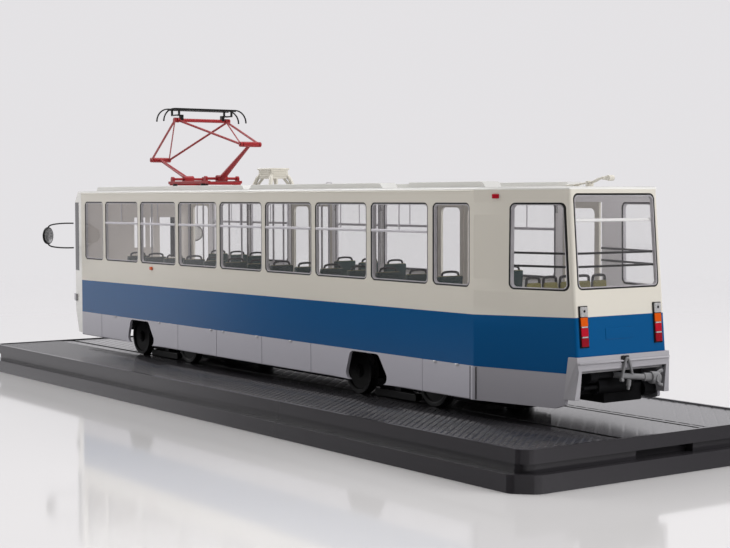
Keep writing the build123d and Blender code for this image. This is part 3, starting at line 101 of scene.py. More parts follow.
def rounded(piece, radius, segments=2, angle=35):
    """Rounds a piece's sharp outer edges by a radius in millimetres and evens out its shading."""
    only(piece)
    if radius:
        grid = bmesh.new()
        grid.from_mesh(piece.data)
        weight = grid.edges.layers.float.new("bevel_weight_edge")
        for corner in grid.edges:
            if corner.is_manifold and corner.is_convex and corner.calc_face_angle() > math.radians(angle):
                corner[weight] = 1.0
        grid.to_mesh(piece.data)
        grid.free()
        edge = piece.modifiers.new("edge", "BEVEL")
        edge.width = radius * MM
        edge.segments = segments
        edge.limit_method = "WEIGHT"
        bpy.ops.object.modifier_apply(modifier="edge")
    bpy.ops.object.shade_smooth_by_angle(angle=math.radians(angle))
    even = piece.modifiers.new("even", "WEIGHTED_NORMAL")
    even.keep_sharp = True
    bpy.ops.object.modifier_apply(modifier="even")


def merged_copy(node):
    """A copy of a CAD solid's mesh with its loose triangles merged into whole faces."""
    piece = bpy.data.objects.new(node + "_copy", frame["nodes"][node].data.copy())
    bpy.context.collection.objects.link(piece)
    only(piece)
    bpy.ops.object.mode_set(mode="EDIT")
    bpy.ops.mesh.select_all(action="SELECT")
    bpy.ops.mesh.remove_doubles(threshold=0.002 * MM)
    bpy.ops.mesh.dissolve_limited(angle_limit=math.radians(0.6))
    bpy.ops.object.mode_set(mode="OBJECT")
    return piece


def settle(piece, name, materials, body="tram"):
    """Leaves a finished piece's object at the origin and gives it its name, materials and body."""
    only(piece)
    bpy.ops.object.transform_apply()
    piece.name = name
    piece.data.name = name
    if materials:
        piece.data.materials.clear()
        for material in materials:
            piece.data.materials.append(material)
    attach(piece, body)
    return piece


def stand_in(piece, node, *materials):
    """Settles a piece in a CAD node's place, with that node's body."""
    settle(piece, node + "_made", materials, body_of_node[node])
    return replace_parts(piece, node)


def from_cad(node, radius, *materials, angle=35):
    """A CAD solid with its edges rounded and its own finish, which stands for the node."""
    piece = merged_copy(node)
    rounded(piece, radius, angle=angle)
    return stand_in(piece, node, *materials)


def moulded(node, wanted, size, radius, *materials):
    """A CAD moulding whose edges that wanted answers true for are well rounded before the others."""
    piece = merged_copy(node)
    bpy.ops.object.mode_set(mode="EDIT")
    bpy.ops.mesh.select_mode(type="EDGE")
    bpy.ops.mesh.select_all(action="DESELECT")
    grid = bmesh.from_edit_mesh(piece.data)
    for edge in grid.edges:
        a, b = (vertex.co / MM for vertex in edge.verts)
        edge.select_set(edge.is_convex and wanted(a, b))
    bmesh.update_edit_mesh(piece.data)
    bpy.ops.mesh.bevel(offset=size * MM, segments=5, affect="EDGES")
    bpy.ops.object.mode_set(mode="OBJECT")
    rounded(piece, radius, segments=3)
    return stand_in(piece, node, *materials)


PLINTH_CORNER = (185, 48)


def plinth_corner(a, b):
    """True for the upright edges at the plinth's corners."""
    upright = abs(a.x - b.x) + abs(a.y - b.y) < 0.05
    return upright and abs(a.x) > PLINTH_CORNER[0] and abs(a.y) > PLINTH_CORNER[1]


plinth_plastic = skin(
    "plinth_plastic", dark=(0.026, 0.024, 0.028), light=(0.034, 0.032, 0.036),
    patch=40, rough=(0.16, 0.22), grain=1.5, relief=0.0006,
)
moulded("plinth_tray", plinth_corner, 1.6, 0.5, plinth_plastic)


# Plinth deck: the upper moulding, with a thin rim round a sunk paving and two flange grooves.
# The near strip is fine setts in running bond, the rest narrow strips laid aslant to the track.
def pick(piece, wanted):
    """In edit mode, selects the faces that wanted answers true for, and no others."""
    bpy.ops.mesh.select_mode(type="FACE")
    bpy.ops.mesh.select_all(action="DESELECT")
    grid = bmesh.from_edit_mesh(piece.data)
    for face in grid.faces:
        face.select_set(wanted(face))
    bmesh.update_edit_mesh(piece.data)


def block(low, high):
    """A plain block between two corners in millimetres, to be shaped further."""
    bpy.ops.object.select_all(action="DESELECT")
    middle = [(a + b) / 2 * MM for a, b in zip(low, high)]
    bpy.ops.mesh.primitive_cube_add(size=1, location=middle)
    piece = bpy.context.object
    piece.scale = [(b - a) * MM for a, b in zip(low, high)]
    bpy.ops.object.transform_apply()
    return piece


def stone(low, high, edge, rise):
    """One paving stone between two corners in millimetres, open below, its top edge worn to a slope."""
    piece = block(low, high)
    bpy.ops.object.mode_set(mode="EDIT")
    pick(piece, lambda face: face.normal.z < -0.5)
    bpy.ops.mesh.delete(type="FACE")
    pick(piece, lambda face: face.normal.z > 0.5)
    bpy.ops.mesh.inset(thickness=edge * MM, depth=rise * MM)
    bpy.ops.object.mode_set(mode="OBJECT")
    return piece


def repeat(piece, count, step):
    """Copies a piece in a row, each copy moved on by step in millimetres."""
    only(piece)
    row = piece.modifiers.new("row", "ARRAY")
    row.count = count
    row.use_relative_offset = False
    row.use_constant_offset = True
    row.constant_offset_displace = [value * MM for value in step]
    bpy.ops.object.modifier_apply(modifier="row")


def join(pieces):
    """Makes one object of several."""
    only(*pieces)
    bpy.ops.object.join()
    return bpy.context.object


def trim(piece, point, normal, hem=0.0):
    """Cuts away what lies beyond a plane given by a point in millimetres and its outward normal.

    The cut edges are turned down by hem, so that no open end shows.
    """
    only(piece)
    bpy.ops.object.mode_set(mode="EDIT")
    bpy.ops.mesh.select_all(action="SELECT")
    bpy.ops.mesh.bisect(plane_co=[value * MM for value in point], plane_no=normal, clear_outer=True)
    if hem:
        bpy.ops.mesh.select_mode(type="EDGE")
        bpy.ops.mesh.extrude_edges_move(TRANSFORM_OT_translate={"value": (0, 0, -hem * MM)})
    bpy.ops.object.mode_set(mode="OBJECT")


PAVING_Z = 11.9
DECK_INSIDE = (195.4, 56.0)
CUT_CORNER = 3.2
GROOVE_YS = (15.5, 21.5)
GROOVE_ZS = (9.0, PAVING_Z - 0.05)
SETT = (3.0, 1.75)
SETT_GAP = 0.3
SETT_EDGE = 0.3
SETT_RISE = 0.16
SETT_FROM_Y = 23.4
SLAB_PITCH = 4.2
SLAB_EDGE = 0.6
SLAB_RISE = 0.08
SLAB_HEM = 0.2
SLAB_END_GAP = 0.15
SLAB_SLANT = math.pi / 4
SLAB_ROWS = ((-56.0, -20.7), (-16.2, 16.2), (20.7, 23.2))

paving_plastic = skin(
    "paving_plastic", dark=(0.030, 0.029, 0.033), light=(0.052, 0.050, 0.056),
    patch=9, rough=(0.12, 0.20), grain=0.8, relief=0.001,
)
# Near-black matt finish for the flange grooves: painted shade, since the deck is all one plastic.
groove_shade = skin(
    "groove_shade", dark=(0.004, 0.004, 0.004), light=(0.008, 0.008, 0.008),
    patch=4, rough=(0.6, 0.7), grain=0.3, relief=0.004, shine=0.05,
)
deck = moulded("plinth_deck", plinth_corner, 1.0, 0.42, plinth_plastic, groove_shade)
# Faces deep inside the flange grooves take the painted shade.
for face in deck.data.polygons:
    x, y, z = (abs(value) / MM for value in face.center)
    if x < DECK_INSIDE[0] and GROOVE_YS[0] < y < GROOVE_YS[1] and GROOVE_ZS[0] < z < GROOVE_ZS[1]:
        face.material_index = 1
setts = []
for course in range(2):
    x = -DECK_INSIDE[0] + course * SETT[0] / 2
    y = SETT_FROM_Y + course * SETT[1]
    low = (x + SETT_GAP / 2, y + SETT_GAP / 2, PAVING_Z - 0.02)
    high = (x + SETT[0] - SETT_GAP / 2, y + SETT[1] - SETT_GAP / 2, PAVING_Z + 0.08)
    sett = stone(low, high, SETT_EDGE, SETT_RISE)
    repeat(sett, int(2 * DECK_INSIDE[0] / SETT[0]), (SETT[0], 0, 0))
    setts.append(sett)
setts = join(setts)
repeat(setts, int((DECK_INSIDE[1] - SETT_FROM_Y) / SETT[1] / 2), (0, 2 * SETT[1], 0))
slabs = []
for low_y, high_y in SLAB_ROWS:
    slant = high_y - low_y + 4
    low = (-slant, 0.02, PAVING_Z - 0.02)
    high = (slant, SLAB_PITCH - 0.02, PAVING_Z + 0.02)
    strip = stone(low, high, SLAB_EDGE, SLAB_RISE)
    bpy.ops.object.select_all(action="DESELECT")
    strip.select_set(True)
    strip.rotation_euler.z = -SLAB_SLANT
    strip.location = ((-DECK_INSIDE[0] - slant) * MM, (low_y + high_y) / 2 * MM, 0)
    bpy.ops.object.transform_apply()
    step = SLAB_PITCH / math.sin(SLAB_SLANT)
    repeat(strip, int(2 * (DECK_INSIDE[0] + slant) / step), (step, 0, 0))
    trim(strip, (0, low_y, 0), (0, -1, 0), hem=SLAB_HEM)
    trim(strip, (0, high_y, 0), (0, 1, 0), hem=SLAB_HEM)
    trim(strip, (-DECK_INSIDE[0] + SLAB_END_GAP, 0, 0), (-1, 0, 0))
    trim(strip, (DECK_INSIDE[0] - SLAB_END_GAP, 0, 0), (1, 0, 0))
    slabs.append(strip)
slabs = join(slabs)
for paving, name in ((setts, "paving_setts"), (slabs, "paving_slabs")):
    for end in (-1, 1):
        for side in (-1, 1):
            corner = (end * (DECK_INSIDE[0] - CUT_CORNER), side * DECK_INSIDE[1], PAVING_Z)
            trim(paving, corner, (end, side, 0))
    settle(paving, name, [paving_plastic])


# Wheelsets: an axle and two flanged wheels turned from one steel bar, free to turn in the bogies.
# The steel is blackened, the running treads are left bright, and a bolted cover closes each hub.
def drum(start, end, radius, edge, sides=24):
    """A turned drum between two points in millimetres, its ends rounded."""
    along = Vector(end) - Vector(start)
    bpy.ops.object.select_all(action="DESELECT")
    middle = (Vector(start) + Vector(end)) / 2 * MM
    turn = along.to_track_quat("Z", "Y").to_euler()
    bpy.ops.mesh.primitive_cylinder_add(
        vertices=sides, radius=radius * MM, depth=along.length * MM, location=middle, rotation=turn
    )
    piece = bpy.context.object
    bpy.ops.object.transform_apply()
    rounded(piece, edge)
    return piece


AXLE_Z = 20.3
AXLE_XS = (112.4, 67.4, -62.0, -107.0)
TREAD_R = 8.25
WHEEL_FACE_Y = 20.0
HUB_R = 1.7
HUB_BOLTS = 6
BOLT_RING_R = 1.2
BOLT_R = 0.24
black_steel = skin(
    "black_steel", dark=(0.008, 0.008, 0.009), light=(0.016, 0.016, 0.017),
    patch=4, rough=(0.34, 0.48), grain=0.3, relief=0.01, shine=0.2,
)
bright_steel = skin(
    "bright_steel", dark=(0.30, 0.30, 0.31), light=(0.42, 0.42, 0.43),
    patch=5, rough=(0.22, 0.34), grain=0.25, relief=0.005, metallic=1.0,
)
for number, axle_x in enumerate(AXLE_XS, start=1):
    wheelset = from_cad(f"wheelset_{number}", 0.15, black_steel, bright_steel, angle=25)
    for face in wheelset.data.polygons:
        radius = math.hypot(face.center.x - axle_x * MM, face.center.z - AXLE_Z * MM)
        if abs(face.normal.y) < 0.3 and abs(radius - TREAD_R * MM) < 0.15 * MM:
            face.material_index = 1
    covers = []
    for side in (-1, 1):
        face_y = side * WHEEL_FACE_Y
        inner = (axle_x, face_y - side * 0.1, AXLE_Z)
        outer = (axle_x, face_y + side * 0.35, AXLE_Z)
        covers.append(drum(inner, outer, HUB_R, 0.12))
        for bolt in range(HUB_BOLTS):
            angle = bolt * 2 * math.pi / HUB_BOLTS
            x = axle_x + BOLT_RING_R * math.cos(angle)
            z = AXLE_Z + BOLT_RING_R * math.sin(angle)
            covers.append(drum((x, face_y, z), (x, face_y + side * 0.5, z), BOLT_R, 0.06, sides=6))
    settle(join(covers), f"hub_covers_{number}", [black_steel], f"wheelset_{number}")

# Bogies, track brakes, steps and the boxes under the floor: matt black castings and pressed boxes.
# They are bolted up from below and seen in the wheel arches and under the tail.
underframe_black = skin(
    "underframe_black", dark=(0.006, 0.006, 0.007), light=(0.012, 0.012, 0.013),
    patch=6, rough=(0.45, 0.62), grain=0.4, relief=0.015, shine=0.15,
)
for node in ("bogie_front", "bogie_rear", "track_brakes", "underfloor_boxes", "door_steps"):
    from_cad(node, 0.25, underframe_black)

# Floor plate: one flat sheet of grey plastic that carries the body above and the bogies below.
# It is painted on top, where it shows through the windows.
floor_paint = skin(
    "floor_paint", dark=(0.40, 0.39, 0.40), light=(0.48, 0.47, 0.48),
    patch=8, rough=(0.5, 0.65), grain=0.5, relief=0.01,
)
from_cad("floor_pan", 0.0, floor_paint)


# Wheel wells: thin black sheets inside each pair of wheels, with their top edges fixed under the floor.
# They shut out the daylight between the wheels of one side and those of the other.
def slab(low, high, edge):
    """A block between two corners in millimetres with rounded edges."""
    piece = block(low, high)
    rounded(piece, edge)
    return piece


BELT_Z = 29.5
BOGIE_XS = (89.9, -84.5)
WELL_YS = (14.6, 15.2)
WELL_REACH = (-34, 58)
WELL_LOW_Z = 22.6
wells = []
for bogie_x in BOGIE_XS:
    for side in (-1, 1):
        low_y, high_y = sorted(side * y for y in WELL_YS)
        low = (bogie_x + WELL_REACH[0], low_y, WELL_LOW_Z)
        high = (bogie_x + WELL_REACH[1], high_y, BELT_Z)
        wells.append(slab(low, high, 0.1))
settle(join(wells), "wheel_wells", [underframe_black])

# Belly pans: black boxes along the middle of the floor, with a shallow trough below each axle.
# They hang from the floor plate, close the view through the car and cast real shade; their black is painted
# shade for the deep shade under the car.
PAN_HALF_W = 8
PAN_LOW_Z = 13.4
PAN_XS = ((-136, -118), (-98, -72), (-50, 56), (77, 102))
TROUGH_REACH = 13
TROUGH_ZS = (12.9, 16.6)
pans = []
for rear_x, front_x in PAN_XS:
    pans.append(slab((rear_x, -PAN_HALF_W, PAN_LOW_Z), (front_x, PAN_HALF_W, BELT_Z), 0.6))
for axle_x in AXLE_XS:
    low = (axle_x - TROUGH_REACH, -PAN_HALF_W, TROUGH_ZS[0])
    high = (axle_x + TROUGH_REACH, PAN_HALF_W, TROUGH_ZS[1])
    pans.append(slab(low, high, 0.6))
settle(join(pans), "belly_shade_pans", [underframe_black])


# Body shell: side walls, tapered tail corners and leaning rear wall, welded into one skin and sprayed.
# Cream above the paint line and blue below it, with the two rear corners rounded.
def paint(name, colour, rough=(0.12, 0.17)):
    """Spray paint with a clear gloss: a faint drift of tone and a fine orange peel."""
    dark = [value * 0.965 for value in colour]
    light = [min(1.0, value * 1.03) for value in colour]
    return skin(name, dark, light, patch=45, rough=rough, grain=0.5, relief=0.0003)


PAINT_Z = 46.1
CREASE = (-139.55, 29.05)
REAR = (-176.35, 19.15)
REAR_LEAN = 0.0807
CORNER_LEAN = 0.0098
REAR_CORNER_R = 0.9
SEAM_X = 155.85
SIDE_SLOPE = 1.5 / (SEAM_X - CREASE[0])
TAIL_SLOPE = 0.65 / (CREASE[0] - REAR[0])
SHELL_ROWS = 14
CHEEK_END_X = -174.9
BUMPER_LOW_Z = 30.45
EAVES_Z = 86.0
WALL_T = 1.2
DOOR_SPANS = ((143.3, 9.75), (42.5, 16.45), (-63.7, 16.45), (-129.1, 9.75))
DOOR_HEIGHTS = (15.0, 81.9)
cream_paint = paint("cream_paint", (0.76, 0.725, 0.65))
blue_paint = paint("blue_paint", (0.0015, 0.088, 0.26))
rubber = skin(
    "rubber", dark=(0.010, 0.010, 0.010), light=(0.018, 0.018, 0.018),
    patch=3, rough=(0.5, 0.65), grain=0.3, relief=0.01,
)
lining = skin(
    "lining", dark=(0.78, 0.76, 0.79), light=(0.84, 0.82, 0.85),
    patch=25, rough=(0.4, 0.5), grain=0.6, relief=0.003,
)


def painted_glow(material, colour, strength):
    """Gives a material a faint painted glow, light of its own that stands in for the daylight inside the
    car.
    """
    shader = material.node_tree.nodes["Principled BSDF"]
    shader.inputs["Emission Color"].default_value = (*colour, 1)
    shader.inputs["Emission Strength"].default_value = strength


def corner_at(z):
    """The rear corner's place in plan at a height, all in millimetres."""
    return REAR[0] - REAR_LEAN * (PAINT_Z - z), REAR[1] + CORNER_LEAN * (PAINT_Z - z)


def loose_parts(node):
    """The separate lumps of a merged copy of a CAD solid."""
    merged_copy(node)
    bpy.ops.object.mode_set(mode="EDIT")
    bpy.ops.mesh.select_all(action="SELECT")
    bpy.ops.mesh.separate(type="LOOSE")
    bpy.ops.object.mode_set(mode="OBJECT")
    return list(bpy.context.selected_objects)


def middle_of(piece):
    """The middle of a piece's bounding box, in millimetres."""
    return sum((Vector(corner) for corner in piece.bound_box), Vector()) / 8 / MM


# Painted light: the lining glows faintly, standing in for the daylight that comes into the car.
painted_glow(lining, (0.92, 0.88, 0.86), 0.10)
shell = block((REAR[0], -CREASE[1], BELT_Z), (SEAM_X, CREASE[1], EAVES_Z))
bpy.ops.object.mode_set(mode="EDIT")
pick(shell, lambda face: abs(face.normal.z) > 0.5 or face.normal.x > 0.5)
bpy.ops.mesh.delete(type="FACE")
bpy.ops.mesh.select_all(action="SELECT")
bpy.ops.mesh.bisect(plane_co=(CREASE[0] * MM, 0, 0), plane_no=(1, 0, 0))
bpy.ops.mesh.select_mode(type="EDGE")
bpy.ops.mesh.select_all(action="DESELECT")
grid = bmesh.from_edit_mesh(shell.data)
rear_points = [vertex for vertex in grid.verts if vertex.co.x < (REAR[0] + 1) * MM]
for vertex in rear_points:
    x, y = corner_at(vertex.co.z / MM)
    vertex.co.x = x * MM
    vertex.co.y = math.copysign(y * MM, vertex.co.y)
for edge in grid.edges:
    a, b = edge.verts
    edge.select_set(a in rear_points and b in rear_points and a.co.y * b.co.y > 0)
bmesh.update_edit_mesh(shell.data)
bpy.ops.mesh.bevel(offset=REAR_CORNER_R * MM, segments=6, affect="EDGES")
for row in range(1, SHELL_ROWS):
    bpy.ops.mesh.select_all(action="SELECT")
    row_z = BELT_Z + (EAVES_Z - BELT_Z) * row / SHELL_ROWS
    bpy.ops.mesh.bisect(plane_co=(0, 0, row_z * MM), plane_no=(0, 0, 1))
paint_bend = (CREASE[0] * MM, 0, PAINT_Z * MM)
pick(shell, lambda face: face.calc_center_median().x > CREASE[0] * MM)
bpy.ops.mesh.bisect(plane_co=paint_bend, plane_no=Vector((SIDE_SLOPE, 0, 1)).normalized())
pick(shell, lambda face: face.calc_center_median().x < CREASE[0] * MM)
bpy.ops.mesh.bisect(plane_co=paint_bend, plane_no=Vector((TAIL_SLOPE, 0, 1)).normalized())
pick(shell, lambda face: face.calc_center_median().z < 35 * MM)
bpy.ops.mesh.bisect(plane_co=(CHEEK_END_X * MM, 0, 0), plane_no=(1, 0, 0))
grid = bmesh.from_edit_mesh(shell.data)
for vertex in grid.verts:
    if vertex.co.x < (CHEEK_END_X - 0.1) * MM and vertex.co.z < BUMPER_LOW_Z * MM:
        vertex.co.z = BUMPER_LOW_Z * MM
bmesh.update_edit_mesh(shell.data)
bpy.ops.object.mode_set(mode="OBJECT")
sheet = shell.modifiers.new("sheet", "SOLIDIFY")
sheet.thickness = WALL_T * MM
sheet.offset = -1
sheet.use_even_offset = True
bpy.ops.object.modifier_apply(modifier="sheet")

TAIL_FACING = (-0.265, 0.964, 0.026)
OPENING_DEPTH = 3
openings = loose_parts("window_gaskets")
for opening in openings:
    only(opening)
    middle = middle_of(opening)
    if middle.x > CREASE[0]:
        way = Vector((0, 1, 0))
    elif abs(middle.y) > 5:
        way = Vector((TAIL_FACING[0], math.copysign(TAIL_FACING[1], middle.y), TAIL_FACING[2])).normalized()
    else:
        way = Vector((-1, 0, REAR_LEAN)).normalized()
    bpy.ops.object.mode_set(mode="EDIT")
    bpy.ops.mesh.select_all(action="SELECT")
    bpy.ops.mesh.duplicate()
    bpy.ops.transform.translate(value=way * OPENING_DEPTH * MM)
    bpy.ops.mesh.select_all(action="SELECT")
    bpy.ops.mesh.convex_hull()
    bpy.ops.mesh.select_all(action="SELECT")
    bpy.ops.transform.translate(value=way * -OPENING_DEPTH / 2 * MM)
    bpy.ops.object.mode_set(mode="OBJECT")
for x, half in DOOR_SPANS:
    openings.append(slab((x - half, -32, DOOR_HEIGHTS[0]), (x + half, -25, DOOR_HEIGHTS[1]), 0))
openings = join(openings)
only(shell)
cut = shell.modifiers.new("cut", "BOOLEAN")
cut.operation = "DIFFERENCE"
cut.solver = "EXACT"
cut.object = openings
bpy.ops.object.modifier_apply(modifier="cut")
bpy.data.objects.remove(openings)
rounded(shell, 0, angle=25)
for finish in (cream_paint, blue_paint, lining, rubber):
    shell.data.materials.append(finish)
for face in shell.data.polygons:
    ahead = face.center.x / MM - CREASE[0]
    slope = SIDE_SLOPE if ahead > 0 else TAIL_SLOPE
    outward = Vector((min(0.0, face.center.x - CREASE[0] * MM), face.center.y, 0)).normalized()
    facing = face.normal.dot(outward)
    if facing < -0.3:
        face.material_index = 2
    # Faces across the wall, round the openings and at its ends, take black rubber: painted shade in the
    # reveals.
    elif facing < 0.3 and abs(face.normal.z) < 0.5:
        face.material_index = 3
    elif face.center.z / MM < PAINT_Z - slope * ahead:
        face.material_index = 1
SHELL = (
    "side_wall_left", "side_wall_right", "tail_corner_left", "tail_corner_right", "rear_wall",
    "belt_left", "belt_right", "belt_rear",
)
settle(shell, "body_shell", [])
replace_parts(shell, *SHELL)


# Rear panel: a shallow hatch plate on the rear wall, between the paint line and the bumper.
# It is a flat sheet, screwed to the wall and sprayed blue with it.
def on_rear_wall(piece):
    """Lays a piece made round x = 0 against the leaning rear wall."""
    for vertex in piece.data.vertices:
        vertex.co.x += corner_at(vertex.co.z / MM)[0] * MM
    return piece


PANEL_YS = (-5.0, 6.8)
PANEL_ZS = (39.5, 43.1)
panel = on_rear_wall(slab((-0.14, PANEL_YS[0], PANEL_ZS[0]), (0.2, PANEL_YS[1], PANEL_ZS[1]), 0.1))
settle(panel, "rear_panel", [blue_paint])

# Skirts: light grey panels under the belt, each screwed on by itself, with the wheel arches cut out.
# A narrow joint parts one from the next.
skirt_paint = paint("skirt_paint", (0.53, 0.52, 0.58))
tail_skirt_paint = paint("tail_skirt_paint", (0.40, 0.39, 0.43))
SKIRT_Z = 18.5


def skirt_hem(a, b):
    """True for the lowest outer edges of a side skirt, which are turned in."""
    return max(a.z, b.z) < SKIRT_Z + 0.05 and min(abs(a.y), abs(b.y)) > CREASE[1] - 0.05


for node in ("skirt_left", "skirt_right"):
    moulded(node, skirt_hem, 0.5, 0.12, skirt_paint)
from_cad("skirt_tail", 0.12, tail_skirt_paint)

# Skirt ribs: a round post at each crease of the tail, and a strip that fills a joint of the left skirt.
# They are moulded with the skirts, and a thin black rod along both sides of each post is painted shade for
# the corner between post and skirt.
RIB_X = CREASE[0] + 0.3
RIB_R = 1.35
FILLER_XS = (-112.8, -112.2)
RIB_SHADE_R = 0.24
RIB_SHADE_LINES = ((CREASE[0] + 1.75, 0.12), (CREASE[0] - 0.95, 0.3))
ribs = []
shade_lines = []
for side in (-1, 1):
    rib = (RIB_X, side * (CREASE[1] - 0.85))
    ribs.append(drum((*rib, SKIRT_Z + 0.1), (*rib, BELT_Z - 0.25), RIB_R, 0.1, sides=40))
    # Black rods at each post's flanks: painted shade in the corners beside the post.
    for shade_line_x, inset in RIB_SHADE_LINES:
        shade_line_at = (shade_line_x, side * (CREASE[1] - inset))
        shade_lines.append(drum((*shade_line_at, SKIRT_Z + 0.3), (*shade_line_at, BELT_Z - 0.2), RIB_SHADE_R, 0.04, sides=12))
filler_low = (FILLER_XS[0], CREASE[1] - 1.0, SKIRT_Z + 0.5)
filler_high = (FILLER_XS[1], CREASE[1] - 0.1, BELT_Z - 0.3)
ribs.append(slab(filler_low, filler_high, 0.05))
settle(join(ribs), "skirt_ribs", [skirt_paint])
settle(join(shade_lines), "rib_shade_lines", [rubber])

# Skirt latches: small catches of bright pressed metal along the belt, each with a round hook.
# They are riveted on and hold the skirts' top edge.
latch_metal = skin(
    "latch_metal", dark=(0.62, 0.61, 0.62), light=(0.74, 0.73, 0.74),
    patch=2, rough=(0.25, 0.35), grain=0.3, relief=0.004, metallic=0.4,
)
LATCH_XS = (120.0, 77.0, 31.2, 21.4, -5.4, -30.0, -119.4, -131.1)
LATCH_HALF_W = 0.8
LATCH_DEPTH = 0.3
latches = []
for side in (-1, 1):
    low_y, high_y = sorted(side * (CREASE[1] + depth) for depth in (-LATCH_DEPTH, LATCH_DEPTH))
    hook_y = side * (CREASE[1] + LATCH_DEPTH)
    for latch_x in LATCH_XS:
        low = (latch_x - LATCH_HALF_W, low_y, BELT_Z - 0.55)
        high = (latch_x + LATCH_HALF_W, high_y, BELT_Z + 0.05)
        latches.append(slab(low, high, 0.12))
        hook_start = (latch_x + 0.2, hook_y - side * 0.2, BELT_Z - 0.35)
        hook_end = (latch_x + 0.2, hook_y + side * 0.15, BELT_Z - 0.35)
        latches.append(drum(hook_start, hook_end, 0.25, 0.05, sides=10))
settle(join(latches), "skirt_latches", [latch_metal])

# Front mask: a white shell of glass fibre round the cab, with gloss black posts and a wide windscreen.
# It is bonded to the body along one seam.
white_paint = paint("white_paint", (0.84, 0.83, 0.79))
black_gloss = skin(
    "black_gloss", dark=(0.010, 0.010, 0.012), light=(0.015, 0.015, 0.017),
    patch=20, rough=(0.10, 0.16), grain=0.8, relief=0.002,
)
from_cad("front_mask", 0.2, white_paint)
posts = from_cad("corner_posts", 0.1, black_gloss)

# Roof: a low cream pressing with a rounded edge, set on the walls, and lined below.
# The ducts along both sides are folded strips on its skin.
roof_paint = paint("roof_paint", (0.87, 0.86, 0.83))
# Upward faces take a darker copy of the roof paint: painted shade that holds back the top light.
roof_top_shade = paint("roof_top_shade", (0.62, 0.615, 0.60))
roof = from_cad("roof_shell", 0.0, roof_paint, lining, roof_top_shade)
for face in roof.data.polygons:
    if face.normal.z < -0.3:
        face.material_index = 1
    elif face.normal.z > 0.6:
        face.material_index = 2
ducts = from_cad("roof_ducts", 0.15, roof_paint, roof_top_shade)
# The ducts' upward faces take the same painted shade.
for face in ducts.data.polygons:
    if face.normal.z > 0.6:
        face.material_index = 1


# Rain gutters: a thin round wire over the windows of each side, from the front seam to the tail.
# It is soldered along the eaves and painted cream with the walls.
def rod(points, radius, smooth=False):
    """A round rod or wire through points in millimetres, with closed ends."""
    line = bpy.data.curves.new("rod", "CURVE")
    line.dimensions = "3D"
    line.bevel_depth = radius * MM
    line.bevel_resolution = 3
    line.use_fill_caps = True
    spline = line.splines.new("NURBS" if smooth else "POLY")
    spline.points.add(len(points) - 1)
    for knot, point in zip(spline.points, points):
        knot.co = (*(value * MM for value in point), 1)
    if smooth:
        spline.order_u = 3
        spline.use_endpoint_u = True
        spline.resolution_u = 6
    piece = bpy.data.objects.new("rod", line)
    bpy.context.collection.objects.link(piece)
    only(piece)
    bpy.ops.object.convert(target="MESH")
    piece = bpy.context.object
    bpy.ops.object.shade_smooth_by_angle(angle=math.radians(40))
    return piece


GUTTER_R = 0.2
GUTTER_Z = EAVES_Z - 0.3
gutters = []
for side in (-1, 1):
    gutter_y = side * CREASE[1]
    gutters.append(rod(((SEAM_X, gutter_y, GUTTER_Z), (CREASE[0], gutter_y, GUTTER_Z)), GUTTER_R))
settle(join(gutters), "rain_gutters", [cream_paint])


# Glass: flat panes of clear plastic behind the openings, held in black rubber rings, with vent bars.
# Light passes straight through, and the faces mirror more at a slant. The corner posts are clear
# where they face forward.
def clear_plastic(name, tint):
    """Thin clear plastic that lets light straight through and mirrors at a slant, as its two faces do."""
    material = bpy.data.materials.new(name)
    material.use_nodes = True
    nodes = material.node_tree.nodes
    link = material.node_tree.links.new
    shine = nodes["Principled BSDF"]
    shine.inputs["Base Color"].default_value = (0.95, 0.95, 0.95, 1)
    shine.inputs["Metallic"].default_value = 1.0
    shine.inputs["Roughness"].default_value = 0.04
    through = nodes.new("ShaderNodeBsdfTransparent")
    through.inputs["Color"].default_value = (*tint, 1)
    haze = nodes.new("ShaderNodeBsdfDiffuse")
    haze.inputs["Color"].default_value = (0.9, 0.88, 0.92, 1)
    clear = nodes.new("ShaderNodeMixShader")
    clear.inputs[0].default_value = 0.035
    fresnel = nodes.new("ShaderNodeFresnel")
    fresnel.inputs["IOR"].default_value = 1.42
    inside = nodes.new("ShaderNodeNewGeometry")
    outer_face = nodes.new("ShaderNodeMath")
    outer_face.operation = "SUBTRACT"
    outer_face.use_clamp = True
    mix = nodes.new("ShaderNodeMixShader")
    link(fresnel.outputs[0], outer_face.inputs[0])
    link(inside.outputs["Backfacing"], outer_face.inputs[1])
    link(outer_face.outputs[0], mix.inputs[0])
    link(through.outputs[0], clear.inputs[1])
    link(haze.outputs[0], clear.inputs[2])
    link(clear.outputs[0], mix.inputs[1])
    link(shine.outputs[0], mix.inputs[2])
    link(mix.outputs[0], nodes["Material Output"].inputs["Surface"])
    return material


window_plastic = clear_plastic("window_plastic", (0.985, 0.985, 0.985))
light_metal = skin(
    "light_metal", dark=(0.60, 0.58, 0.62), light=(0.70, 0.68, 0.72),
    patch=5, rough=(0.28, 0.40), grain=0.3, relief=0.004, metallic=0.2,
)
for node in ("glazing_left", "glazing_right", "glazing_rear", "door_glass", "windscreen"):
    from_cad(node, 0.0, window_plastic)
posts.data.materials.append(window_plastic)
for face in posts.data.polygons:
    if abs(face.normal.x) > 0.55:
        face.material_index = 1
from_cad("window_gaskets", 0.2, rubber)
vents = from_cad("vent_bars", 0.06, light_metal)
only(vents)
bpy.ops.object.mode_set(mode="EDIT")
bpy.ops.mesh.select_all(action="SELECT")
bpy.ops.transform.shrink_fatten(value=0.2 * MM)
bpy.ops.object.mode_set(mode="OBJECT")

